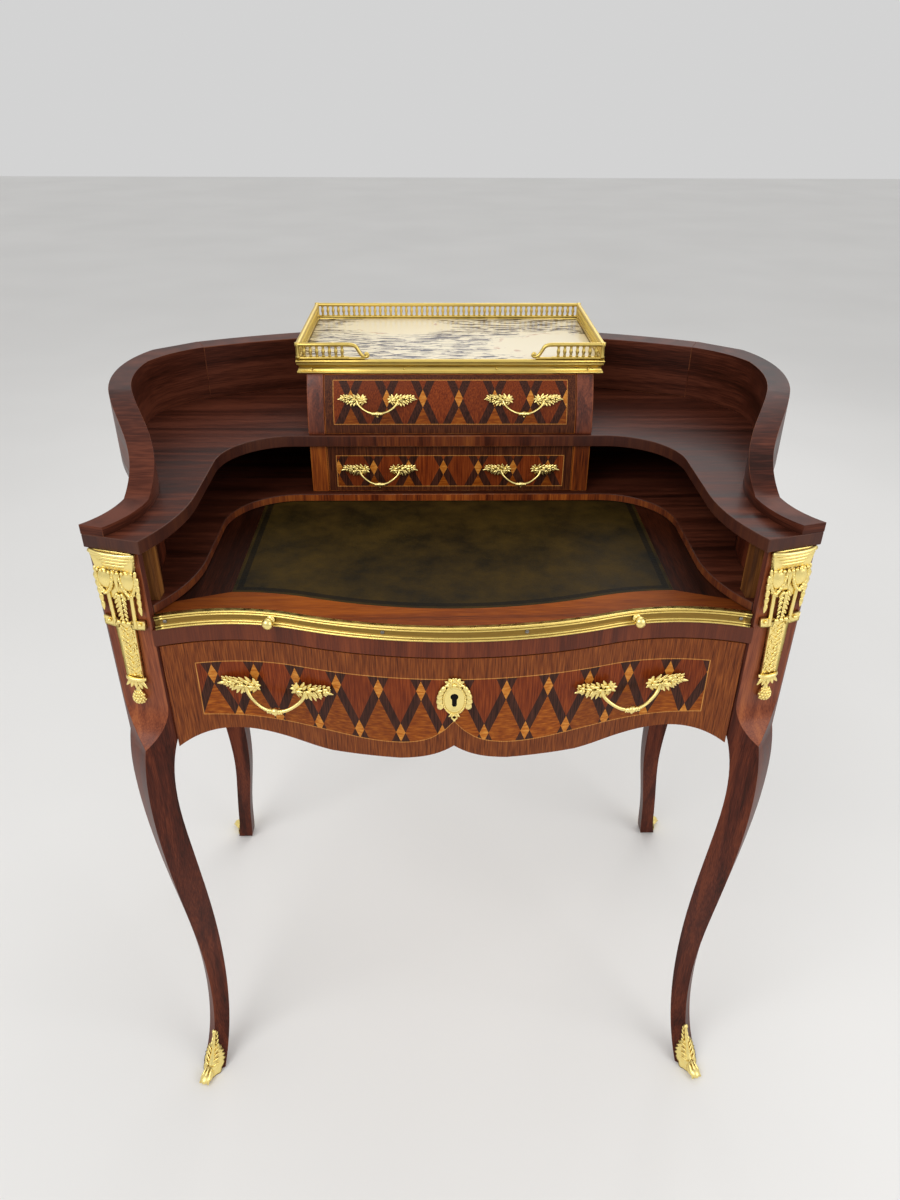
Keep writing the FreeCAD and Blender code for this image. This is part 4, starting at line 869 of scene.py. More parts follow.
@dataclass
class Joinery:
    """Legs, panels, shelves, rims and cabinet sides, with the plain timber inside them."""

    arris: float = 0.9 * MM
    post_arris: float = 1.4 * MM
    cant_foot: float = 578.0 * MM
    # height below which a leg's end is brought down to the floor
    grounded: float = 3.5 * MM

    def cant(self, leg: bpy.types.Object, spot: LegSpot) -> None:
        """Give the canted corner of a leg and its run-out the lighter finish of painted sheen.

        Args:
            leg: the leg's piece.
            spot: where the leg stands.
        """
        turn = spot.matrix().to_3x3()
        outward, aside = turn @ Vector((0, -1, 0)), turn @ Vector((1, 0, 0))
        for face in leg.data.polygons:
            ahead = face.normal.dot(outward) > 0.3 and abs(face.normal.dot(aside)) < 0.3
            if ahead and face.center.z > self.cant_foot and face.material_index == 0:
                face.material_index = 2
        leg.data.materials.append(SHEEN_VENEER.material())

    def build(self) -> None:
        """Round the edges of what shows and dress what lies hidden."""
        worn = KINGWOOD.worn()
        for spot in LEG_SPOTS:
            leg = rub_down(f"leg_{spot.name}", Body.CARCASS, KINGWOOD, worn, self.post_arris,
                           grounded=self.grounded)
            self.cant(leg, spot)
        for side in ("left", "right"):
            rub_down(f"side_panel_{side}", Body.CARCASS, KINGWOOD, worn, self.arris)
            rub_down(f"rim_{side}", Body.CARCASS, KINGWOOD_LEVEL, KINGWOOD_LEVEL.worn(),
                     self.post_arris)
            rub_down(f"cabinet_lower_{side}", Body.CARCASS, TULIPWOOD, TULIPWOOD.worn())
            # the rubbed arrises of the upper cabinet sides take the same lighter finish of painted sheen
            rub_down(f"cabinet_upper_{side}", Body.CARCASS, MAHOGANY, SHEEN_VENEER)
            for inside in ("bearer", "runner"):
                dress(f"{inside}_{side}", OAK_DEEP)
        for node in ("rim_back", "back_panel"):
            rub_down(node, Body.CARCASS, KINGWOOD_LEVEL, KINGWOOD_LEVEL.worn(), self.arris)
        rub_down("front_rail", Body.CARCASS, MAHOGANY_RAIL, worn, self.arris)
        for node, band in (("upper_shelf", TULIPWOOD_DARK_END_SHADED), ("inner_top", TULIPWOOD_END_SHADED)):
            rub_down(node, Body.CARCASS, KINGWOOD_ACROSS, TULIPWOOD_DARK_END_SHADED.worn(), self.arris,
                     lip=band)
        for node in ("dust_board", "drawer_stops", "cabinet_top"):
            dress(node, OAK)
        dress("glue_blocks", GLUE_BLOCK)


@dataclass
class Sabot:
    """Gilt mount of a foot: scrolled toe, serrated leaf over the two outer faces, husk stem up the arris."""

    spots: tuple[LegSpot, ...] = LEG_SPOTS[:2]
    points: int = 17
    wall: float = 2.0
    # how far the tip of the toe stands from the leg's axis, in millimetres
    tip: float = 53.0
    leg_half: float = 16.4
    # height, distance that the toe stands off the arris, share of each face under the leaf; millimetres
    sections: tuple[tuple[float, float, float], ...] = (
        (0.0, 7.0, 0.70), (1.4, 9.0, 0.75), (4.6, 9.4, 0.76), (6.2, 7.8, 0.72), (8.6, 8.4, 0.80),
        (11.6, 6.6, 0.84), (14.0, 4.6, 0.74), (16.0, 3.8, 0.86), (19.0, 2.8, 0.66), (21.0, 2.2, 0.78),
        (24.0, 1.6, 0.54), (26.0, 1.3, 0.66), (29.0, 1.0, 0.38), (31.0, 0.8, 0.48), (34.0, 0.6, 0.20),
        (35.5, 0.4, 0.18))
    # height and distance outward of the leg's arris, in millimetres
    arris_line: tuple[tuple[float, float], ...] = (
        (0.0, 39.0), (4.0, 36.0), (8.0, 32.0), (12.0, 28.5), (16.0, 25.3), (20.0, 22.5), (25.0, 19.3),
        (30.0, 16.5), (35.0, 14.0), (40.0, 11.8), (45.0, 9.7), (50.0, 8.0), (55.0, 6.3), (60.0, 4.8),
        (65.0, 3.5))

    def arris(self, high: float) -> float:
        """Find how far out the leg's arris stands, with all sizes in millimetres.

        Args:
            high: height above the floor.

        Returns:
            The distance from the leg's axis.
        """
        for (low, near), (top, far) in zip(self.arris_line, self.arris_line[1:]):
            if high <= top:
                return near + (far - near) * (high - low) / (top - low)
        return self.arris_line[-1][1]

    def ring(self, high: float, toe: float, reach: float) -> list[Vector]:
        """Return one outline of the mount: round the two outer faces, then back through the wood.

        Args:
            high: height of the outline.
            toe: distance that its middle stands off the arris.
            reach: share of each face that it covers.

        Returns:
            Points of the outline.
        """
        front, spots = self.arris(high), []
        for index in range(self.points):
            along = 2 * index / (self.points - 1) - 1
            far = abs(along) * reach * self.leg_half
            swell = self.wall + 0.9 * math.cos(along * math.pi * 4) * min(high / 10, 1)
            lead = toe * max(1 - 1.35 * abs(along), 0.0) ** 1.3
            side = math.copysign(far + swell * 0.71 * min(abs(along) * 4, 1), along)
            spots.append(Vector((side * MM, -(front - far + swell * 0.71 + lead) * MM, high * MM)))
        inner = front - 9.0 - 7.0 * reach
        spots += [Vector((side * MM, -inner * MM, high * MM)) for side in (5.0, 0.0, -5.0)]
        return spots

    def stem(self, cast: Casting) -> None:
        """Lay husks up the arris, smaller towards the bud at the tip.

        Args:
            cast: casting that takes the work.
        """
        for index, high in enumerate((29.0, 36.0, 43.0, 49.0)):
            root = Vector((0, -(self.arris(high) - 0.4) * MM, high * MM))
            rise = Vector((0, -(self.arris(high + 10) - self.arris(high)) * MM, 10 * MM))
            size = 1.0 - 0.12 * index
            cast.leaf(root, rise, 13 * MM * size, 6.4 * MM * size, 6.4 * MM * size)
            for hand in (-1, 1):
                cast.leaf(root + Vector((hand * 2.4 * MM * size, 1.8 * MM, 0)),
                          rise + Vector((hand * 4.0 * MM * size, 2.4 * MM, 0)),
                          10.5 * MM * size, 5.2 * MM * size, 4.8 * MM * size)
        cast.bead((0, -(self.arris(57) + 0.6) * MM, 56.5 * MM), 3.2 * MM, 2, (1.0, 1.0, 1.3))

    def scroll(self, cast: Casting) -> None:
        """Roll the tip of the toe and vein the two leaves.

        Args:
            cast: casting that takes the work.
        """
        cast.bead((0, -(self.tip - 13.0) * MM, 6.4 * MM), MM, 2, (8.6, 13.0, 6.3))
        for lean in (-0.7, 0.0, 0.7):
            path = [(lean * (5.0 + 3.4 * (1 - share)) * MM,
                     -(self.tip - 1.4 - 21.0 * share - 1.6 * lean * lean) * MM,
                     (4.6 + 10.5 * math.sin(share * math.pi * 0.5) - 2.0 * lean * lean) * MM)
                    for share in (0.0, 0.2, 0.4, 0.6, 0.8, 1.0)]
            cast.tube(path, (1.4 * MM, 1.7 * MM, 1.1 * MM), 6, (1.0, 0.0, 0.0))
        for hand in (-1, 1):
            for index in range(4):
                high = 9.0 + 5.6 * index
                reach = 5.0 + 1.5 * (3 - index)
                at = Vector((hand * 2.0 * MM, -(self.arris(high) - 0.2) * MM, high * MM))
                cast.leaf(at, (hand * reach, reach * 0.9, 6.5), (reach + 5.5) * MM, 5.2 * MM, 3.4 * MM,
                          (hand * 0.7, -0.7, 0.15))

    def build(self) -> None:
        """Cast the mounts of this pair of legs."""
        for spot in self.spots:
            cast = Casting()
            cast.place = spot.matrix()
            cast.loft([self.ring(*section) for section in self.sections])
            self.scroll(cast)
            self.stem(cast)
            cast.hand_over(f"gilt_sabot_{spot.name}", Body.CARCASS, (f"sabot_{spot.name}",))


# The rear legs are straight down to the floor, so their mounts stand steeper.
REAR_SABOT = Sabot(LEG_SPOTS[2:], tip=44.0, arris_line=(
    (0.0, 28.9), (4.0, 27.6), (8.0, 26.3), (12.0, 25.0), (16.0, 24.0), (20.0, 23.1), (25.0, 22.2), (30.0, 21.5),
    (35.0, 20.8), (40.0, 20.3), (45.0, 19.8), (50.0, 19.3), (55.0, 18.9), (60.0, 18.4), (65.0, 17.8)))


@dataclass
class Chute:
    """Gilt mount on a front post: reeded cap, swags, garlands, a stippled pilaster and a bud."""

    face: float = 3.4 * MM
    foot_z: float = 640.0 * MM
    tilt: float = 1.0
    reeds: tuple[float, ...] = (812.9, 808.6, 804.4, 800.3, 796.6)
    # radius and height of the bud's turning, then height and radius of each row of its beads, in millimetres
    bud: tuple[tuple[float, float], ...] = (
        (0.6, 0.0), (4.0, 0.8), (6.0, 2.8), (7.0, 5.6), (6.8, 8.6), (5.4, 12.0), (3.4, 15.0), (2.3, 17.4),
        (2.2, 20.0), (3.4, 23.0))
    bud_rows: tuple[tuple[float, float], ...] = (
        (637.2, 5.2), (640.0, 6.6), (643.0, 6.6), (646.0, 5.4), (648.8, 4.0))

    def out(self, x: float, depth: float, z: float) -> Vector:
        """Return a point at a depth off the post's canted face, sizes in millimetres."""
        return Vector((x * MM, -(self.face + depth * MM), z * MM))

    def slab(self, cast: Casting, corners: Sequence[tuple[float, float]], thick: float, border: float = 0.0,
             sink: float = 0.0) -> None:
        """Cut a plate on the canted face; its corners in X and Z and its other sizes are in millimetres."""
        cast.plate([(x * MM, z * MM) for x, z in corners], self.face, self.face + thick * MM,
                   border * MM, sink * MM)

    def cap(self, cast: Casting) -> None:
        """Add the flaring reeded cap.

        Args:
            cast: casting that takes the work.
        """
        self.slab(cast, ((-20, 795), (20, 795), (24, 815), (-24, 815)), 5)
        for index, high in enumerate(self.reeds):
            half, depth, radius = 24.4 - 1.1 * index, 7.4 - 1.0 * index, 2.5 - 0.18 * index
            path = eased((self.out(-half, depth - 4.5, high), self.out(-half * 0.55, depth - 0.8, high),
                          self.out(0, depth, high), self.out(half * 0.55, depth - 0.8, high),
                          self.out(half, depth - 4.5, high)), 3)
            cast.tube(path, (radius * MM,), 8)
        for place in range(-4, 5):
            cast.bead(self.out(place * 4.6, 7.4 - 0.16 * place * place, 793.6), 2.1 * MM, 1)

    def swags(self, cast: Casting) -> None:
        """Hang the two swelling drapes with their laurel ropes, the leaf between them and the side drops.

        Args:
            cast: casting that takes the work.
        """
        self.slab(cast, ((-14, 762), (14, 762), (21, 799), (-21, 799)), 2.4)
        for hand in (-1, 1):
            cast.bead(self.out(hand * 12.4, 2.2, 784.5), MM, 3, (8.6, 5.8, 12.5))
            rope = eased((self.out(hand * 2.6, 4.0, 795.0), self.out(hand * 5.6, 4.8, 779.0),
                          self.out(hand * 12.6, 5.2, 769.0), self.out(hand * 19.2, 4.6, 777.0),
                          self.out(hand * 21.6, 3.6, 793.0)), 4)
            for spot, ahead in zip(rope, rope[1:]):
                cast.leaf(spot, ahead - spot, 6.8 * MM, 5.0 * MM, 4.8 * MM, taper=0.5)
                cast.leaf(spot, (ahead - spot) * 1.3 + Vector((0, -1.4 * MM, 0)), 5.6 * MM, 3.4 * MM, 3.6 * MM,
                          taper=0.7)
            for drop in range(5):
                cast.leaf(self.out(hand * (21.6 - 0.3 * drop), 3.4, 790.0 - 8.2 * drop), (hand * 0.04, 0, -1),
                          11.5 * MM, (7.8 - 0.5 * drop) * MM, (6.4 - 0.4 * drop) * MM)
        cast.leaf(self.out(0, 4.0, 797.0), (0, -0.05, -1.0), 27 * MM, 7.0 * MM, 5.0 * MM, taper=0.9)

    def uprights(self, cast: Casting) -> None:
        """Stand the two bars beside the openings, with the garland between them and the ears below.

        Args:
            cast: casting that takes the work.
        """
        for hand in (-1, 1):
            cast.tube((self.out(hand * 13.0, 2.2, 779), self.out(hand * 12.2, 2.6, 756),
                       self.out(hand * 11.2, 2.6, 730)), (2.5 * MM, 2.4 * MM, 2.6 * MM), 6, (0.0, -1.0, 0.0))
            ear = [(hand * x, z) for x, z in ((7.5, 738.0), (22.5, 740.0), (22.5, 730.0), (7.5, 728.0))]
            self.slab(cast, ear, 4.6, 1.4, 0.9)
            cast.bead(self.out(hand * 17.0, 4.2, 735), 2.4 * MM, 1)
        for index in range(6):
            size = 1.0 - 0.07 * index
            high = 768.5 - 5.6 * index
            for side in (-1, 0, 1):
                cast.leaf(self.out(1.6 * side, 3.6 + 1.2 * (side == 0), high), (side * 0.75, -0.08, -1.0),
                          9.0 * MM * size, 5.6 * MM * size, 4.8 * MM * size)
        for place in (-1, 0, 1):
            cast.bead(self.out(place * 5.4, 5.0, 735.5), 2.9 * MM, 1)

    def pilaster(self, cast: Casting) -> None:
        """Add the pilaster with its raised border, pounced ground and stalk of leaves.

        Args:
            cast: casting that takes the work.
        """
        self.slab(cast, ((-9.2, 666), (9.2, 666), (10.6, 734), (-10.6, 734)), 5.0, 1.8, 1.8)
        for index in range(9):
            high = 669.5 + 6.9 * index
            for hand in (-1, 1):
                stray = math.sin(3.7 * index + 1.9 * hand)
                cast.leaf(self.out(hand * 0.6, 3.0, high), (hand * (0.8 + 0.3 * stray), -0.08, 1.0),
                          (8.6 + stray) * MM, 4.2 * MM, 3.6 * MM, taper=0.6)
                for step in (0.0, 3.4):
                    cast.bead(self.out(hand * (5.9 + 0.9 * stray), 3.2, high + step),
                              (1.15 + 0.2 * stray) * MM, 1)
            cast.bead(self.out(0.5 * math.sin(2.0 * index), 4.0, high + 1.2), 1.6 * MM, 1)

    def foot(self, cast: Casting) -> None:
        """Add the leaf collar and the tasselled bud.

        Args:
            cast: casting that takes the work.
        """
        cast.tube(eased((self.out(-10.5, 1.6, 666), self.out(-6, 5.4, 666), self.out(6, 5.4, 666),
                         self.out(10.5, 1.6, 666)), 3), (2.4 * MM,), 8)
        for place in (-2, -1, 0, 1, 2):
            cast.leaf(self.out(place * 2.2, 4.8 - 0.6 * abs(place), 665), (place * 0.42, -0.10, -1.0),
                      (11.0 + 0.8 * abs(place)) * MM, 6.0 * MM, 4.6 * MM)
        bud = Matrix.Translation(self.out(0, 3.0, 635.0)) @ Matrix.Diagonal((1.0, 0.85, 1.0, 1.0))
        cast.turn([(wide * MM, high * MM) for wide, high in self.bud], bud, 14)
        for row, (high, wide) in enumerate(self.bud_rows):
            for index in range(6):
                angle = math.radians(-80 + 30 * index + 15 * (row % 2))
                cast.bead(self.out(math.sin(angle) * wide, 3.0 + math.cos(angle) * wide * 0.85, high),
                          1.7 * MM, 1)

    def build(self) -> None:
        """Cast the left and the right mount."""
        for spot, side in ((LEG_SPOTS[0], "left"), (LEG_SPOTS[1], "right")):
            cast = Casting()
            turn = Matrix.Rotation(math.copysign(math.radians(self.tilt), -spot.x), 4, "Y")
            hang = Matrix.Translation((0, 0, self.foot_z))
            cast.place = spot.matrix() @ hang @ turn @ hang.inverted()
            self.cap(cast)
            self.swags(cast)
            self.uprights(cast)
            self.pilaster(cast)
            self.foot(cast)
            cast.hand_over(f"gilt_chute_{side}", Body.CARCASS, (f"chute_{side}",))


@dataclass
class Handle:
    """One-piece gilt handle: a bushy spray of leaves at each end, a hanging bail and a ringed knop."""

    half: float
    sag: float
    bail: float = 2.1 * MM
    stand: float = 13.0 * MM
    tilt: float = 0.10
    bush: float = 1.0
    # share of the spray's length from its inner end, and half its height at a handle of 60 mm half length
    outline: tuple[tuple[float, float], ...] = (
        (0.00, 7.5), (0.14, 10.0), (0.28, 10.4), (0.42, 9.4), (0.56, 7.8), (0.70, 6.0), (0.84, 4.4))
    # radius of the knop's rings and their place along the bail, at the same length
    knop: tuple[tuple[float, float], ...] = (
        (2.2, -8.6), (2.9, -8.0), (2.9, -6.8), (2.1, -6.2), (3.3, -5.2), (3.3, -4.2), (2.4, -3.6),
        (3.7, -2.2), (4.1, 0), (3.7, 2.2), (2.4, 3.6), (3.3, 4.2), (3.3, 5.2), (2.1, 6.2), (2.9, 6.8),
        (2.9, 8.0), (2.2, 8.6))

    def spray(self, cast: Casting, hand: int) -> None:
        """Lay one spray of pointed vine leaflets.

        Args:
            cast: casting that takes the work.
            hand: -1 for the left end, 1 for the right one.
        """
        size, root = self.half / 60, self.half * 0.36
        long = self.half - root
        for index, (share, high) in enumerate(self.outline):
            x, tall = root + long * share, high * self.bush
            z = self.tilt * long * (share - 0.3)
            for lift in (-1, 1):
                stray = math.sin(7.3 * index + 2.1 * lift)
                turn = math.radians(72 - 34 * share + 9 * stray)
                cast.leaf((hand * x, -1.6 * MM, z), (hand * math.cos(turn), -0.26, lift * math.sin(turn)),
                          (tall * (1.12 + 0.14 * stray) + 2.4) * size, 7.0 * size, 4.6 * size, taper=0.85)
                stray = math.sin(4.1 * index + 3.3 * lift)
                turn = math.radians(40 + 16 * stray)
                if index < 6:
                    cast.leaf((hand * (x + 2.0 * size), -3.8 * MM, z + lift * tall * 0.10 * size),
                              (hand * math.cos(turn), -0.22, lift * math.sin(turn)), (tall * 0.62 + 3.4) * size,
                              5.8 * size, 4.2 * size, taper=0.8)
            if index % 2 == 0:
                cast.leaf((hand * x, -5.4 * MM, z), (hand, -0.12, self.tilt + 0.3 * math.sin(5.0 * index)),
                          9.5 * size, 4.8 * size, 3.8 * size, taper=0.8)
            else:
                cast.bead((hand * x, -6.2 * MM, z + 1.6 * size * math.cos(2.0 * index)), 1.7 * size, 1)
        cast.leaf((hand * (self.half - 11.0 * size), -3.0 * MM, self.tilt * long * 0.55),
                  (hand, 0.0, self.tilt * 1.6), 11.0 * size, 5.0 * size, 4.2 * size, taper=0.9)
        for turn in (105, 138, 172, -150):
            angle = math.radians(turn)
            cast.leaf((hand * (root + 3.0 * size), -2.4 * MM, 0),
                      (hand * math.cos(angle), -0.20, math.sin(angle)), 9.5 * size, 6.6 * size, 4.6 * size,
                      taper=0.8)

    def build(self, cast: Casting) -> None:
        """Add the whole handle to a casting at its present place.

        Args:
            cast: casting that takes the work.
        """
        size, low, out, start = self.half / 60, -self.sag, -self.stand, self.half * 0.50
        left = [(-start - 2.0 * MM, -3.4 * MM, 0.0), (-start, -6.0 * MM, low * 0.34),
                (-start * 0.76, out * 0.70, low * 0.66), (-start * 0.40, out * 0.94, low * 0.92), (0, out, low)]
        right = [(-x, y, z) for x, y, z in reversed(left[:-1])]
        arm = (2.6 * size, self.bail, self.bail * 0.9)
        cast.tube(eased(left + right, 4), (*arm, 2.5 * size, *reversed(arm)), 8, (0.0, -1.0, 0.0))
        middle = aim((0, out, low), (1, 0, 0), (0, 0, 1))
        cast.turn([(wide * size, along * size) for wide, along in self.knop], middle, 12)
        cast.bead((0, out, low - 4.4 * size), 1.7 * size, 1)
        for hand in (-1, 1):
            self.spray(cast, hand)


@dataclass
class Escutcheon:
    """Gilt keyhole plate: reeded oval, garlands down its sides, a leafy bow above and a ring below."""

    x: float = 0.0
    y: float = -266.4 * MM
    z: float = 658.0 * MM
    half_width: float = 12.6 * MM
    half_height: float = 19.0 * MM
    # share of the half sizes, and distance outward in millimetres, of each step of the rim
    rim: tuple[tuple[float, float], ...] = (
        (1.0, -0.4), (1.0, 1.8), (0.95, 2.6), (0.89, 2.2), (0.84, 1.5), (0.78, 2.3), (0.70, 2.3), (0.64, 1.5))
    rim_beads: int = 44

    def keyhole(self, out: float) -> list[Vector]:
        """Draw the keyhole, a round head over a straight slot.

        Args:
            out: distance outward, in millimetres.

        Returns:
            Points of its outline.
        """
        head = [math.radians(-48 + 276 * step / 27) for step in range(28)]
        outline = [(math.cos(angle) * 4.1, 4.0 + math.sin(angle) * 4.1) for angle in head]
        outline += [(-2.5, -1.6 * step) for step in range(0, 5)] + [(-1.3, -8.2), (1.3, -8.2)]
        outline += [(2.5, -1.6 * step) for step in range(4, -1, -1)]
        return [Vector((x * MM, -out * MM, z * MM)) for x, z in outline]

    def oval(self, cast: Casting) -> None:
        """Cast the plate with its reeded rim and sunk keyhole.

        Args:
            cast: casting that takes the work.
        """
        turns = [math.radians(-30 + 360 * step / 40) for step in range(40)]
        rings = [[Vector((math.cos(turn) * self.half_width * share, -out * MM,
                          math.sin(turn) * self.half_height * share)) for turn in turns]
                 for share, out in self.rim]
        hole = cast.loft(rings + [self.keyhole(1.5), self.keyhole(0.5)])
        for wall in {face for edge in hole.edges for face in edge.link_faces}:
            wall.material_index = 1
        for index in range(self.rim_beads):
            angle = 2 * math.pi * index / self.rim_beads
            cast.bead((math.cos(angle) * self.half_width * 0.91, -2.3 * MM,
                       math.sin(angle) * self.half_height * 0.91), 0.95 * MM, 1)

    def garlands(self, cast: Casting) -> None:
        """Hang bellflowers down both sides, tie them in a bow above and set a ring below.

        Args:
            cast: casting that takes the work.
        """
        for hand in (-1, 1):
            for index in range(5):
                angle = math.radians(56 - 17 * index)
                swell = 1.0 + 0.07 * index
                at = (hand * (math.cos(angle) * self.half_width + 2.6 * MM), -1.8 * MM,
                      math.sin(angle) * self.half_height + 2.4 * MM)
                along = (hand * math.sin(angle) * 0.5, -0.1, -math.cos(angle) - 0.3)
                cast.leaf(at, along, 7.6 * MM * swell, 5.6 * MM * swell, 4.4 * MM, taper=-0.3)
            for lift in (-0.25, 0.35, 0.95, 1.5):
                cast.leaf((hand * 0.8 * MM, -1.8 * MM, 20.5 * MM),
                          (hand * math.cos(lift), -0.05, math.sin(lift)),
                          (10.5 - 1.6 * abs(lift)) * MM, 5.4 * MM, 4.0 * MM, taper=0.4)
                cast.bead((hand * math.cos(lift) * 6.0 * MM, -3.2 * MM, (20.5 + math.sin(lift) * 5.0) * MM),
                          1.5 * MM, 1)
            cast.leaf((hand * 2.0 * MM, -1.4 * MM, -18.0 * MM), (hand * 0.7, 0, -0.6),
                      5.5 * MM, 3.6 * MM, 3.0 * MM)
        cast.bead((0, -2.8 * MM, 19.6 * MM), 2.6 * MM, 2)
        ring = [(math.cos(a) * 2.7 * MM, -1.6 * MM, -22.0 * MM + math.sin(a) * 2.7 * MM)
                for a in (2 * math.pi * step / 16 for step in range(17))]
        cast.tube(ring, (0.95 * MM,), 6, (0.0, -1.0, 0.0))
        cast.bead((0, -1.8 * MM, -25.8 * MM), 1.7 * MM, 1)

    def build(self) -> None:
        """Cast the plate and set it on the long drawer."""
        cast = Casting()
        cast.place = Matrix.Translation((self.x, self.y, self.z))
        self.oval(cast)
        self.garlands(cast)
        cast.hand_over("gilt_escutcheon", Body.FRIEZE, ("escutcheon",), (GILT, KEYHOLE))


@dataclass
class FriezeDrawer:
    """The long drawer: lozenge front with a shaped apron, oak linings, handles, keyhole plate and lock."""

    handle_x: float = 185.0 * MM
    handle_z: float = 658.0 * MM
    handle_turn: float = 9.8
    half: float = 60.0 * MM
    sag: float = 24.0 * MM
    # right half of the string's lower run, which follows the apron: across and above the floor, in millimetres
    string_foot: tuple[tuple[float, float], ...] = (
        (0.0, 629.5), (4.0, 625.0), (9.0, 619.0), (15.5, 613.5), (27.0, 606.0), (44.0, 601.2), (61.0, 599.6),
        (78.0, 599.8), (95.0, 601.0), (114.0, 603.2), (140.0, 605.8), (182.0, 608.4), (227.0, 612.6),
        (250.0, 614.6), (268.0, 616.4), (302.0, 619.0))

    def laying(self) -> Marquetry:
        """Lay out the marquetry of the front.

        Returns:
            The marquetry.
        """
        foot = tuple((x * MM, z * MM) for x, z in self.string_foot)
        return Marquetry("marquetry_long_drawer", pitch=43.6 * MM, phase=9.5 * MM, top_row=667.7 * MM,
                         drop=54.9 * MM, panel_end=267.5 * MM, string_top=683.0 * MM, string_foot=foot)

    def build(self) -> None:
        """Dress the drawer and cast its mounts."""
        rub_down("frieze_front", Body.FRIEZE, self.laying(), TULIPWOOD.worn(), 0.8 * MM)
        for node in ("frieze_side_left", "frieze_side_right", "frieze_bottom"):
            rub_down(node, Body.FRIEZE, OAK_DEEP, OAK_DEEP.worn(), 0.6 * MM)
        rub_down("frieze_back", Body.FRIEZE, OAK, OAK.worn(), 0.6 * MM)
        seats = [FRONT.y(self.handle_x + reach * MM, 2 * MM) for reach in (-53, 53)]
        for hand, side in ((-1, "left"), (1, "right")):
            cast = Casting()
            cast.place = (Matrix.Translation((hand * self.handle_x, sum(seats) / 2, self.handle_z))
                          @ Matrix.Rotation(math.radians(hand * self.handle_turn), 4, "Z"))
            Handle(self.half, self.sag).build(cast)
            cast.hand_over(f"gilt_frieze_handle_{side}", Body.FRIEZE, (f"frieze_handle_{side}",))
        Escutcheon().build()
        dress("handle_nuts", BRASS)
        dress("lock_case", STEEL)
        dress("lock_bolt", STEEL)


@dataclass
class SmallDrawer:
    """A small drawer of the centre cabinet: lozenge front, oak linings and two handles."""

    level: str
    body: Body
    laying: Marquetry
    handle_y: float
    handle_z: float
    tilt: float
    handle_x: float = 87.5 * MM
    half: float = 45.5 * MM
    sag: float = 16.5 * MM

    def build(self) -> None:
        """Dress the drawer and cast its handles."""
        name = f"{self.level}_drawer"
        rub_down(f"{name}_front", self.body, self.laying, TULIPWOOD.worn(), 0.7 * MM)
        for lining, oak in (("sides", OAK_DEEP), ("bottom", OAK_DEEP), ("back", OAK)):
            rub_down(f"{name}_{lining}", self.body, oak, oak.worn(), 0.5 * MM)
        cast = Casting()
        for hand in (-1, 1):
            cast.place = (Matrix.Translation((hand * self.handle_x, self.handle_y, self.handle_z))
                          @ Matrix.Rotation(math.radians(self.tilt), 4, "X"))
            Handle(self.half, self.sag, 1.3 * MM, 11.0 * MM, bush=0.86).build(cast)
        cast.hand_over(f"gilt_{name}_handles", self.body, (f"{name}_handles",))


def small_laying(name: str, phase: float, top_row: float, drop: float, top: float, foot: float) -> Marquetry:
    """Lay out the marquetry of a small drawer front, all sizes in millimetres.

    Args:
        name: name of the finish.
        phase: place of a diamond across the front.
        top_row: height of the upper diamonds.
        drop: from the upper diamonds down to the next ones.
        top: height of the upper string.
        foot: height of the lower string.

    Returns:
        The marquetry.
    """
    line = tuple((x * MM, foot * MM) for x in (0.0, 80.0, 160.0))
    return Marquetry(name, pitch=43.2 * MM, phase=phase * MM, top_row=top_row * MM, drop=drop * MM,
                     panel_end=140.5 * MM, string_top=top * MM, string_foot=line, string=0.4 * MM, age=0.06,
                     border=("#2b130b", "#4a2414", "#67381d"))


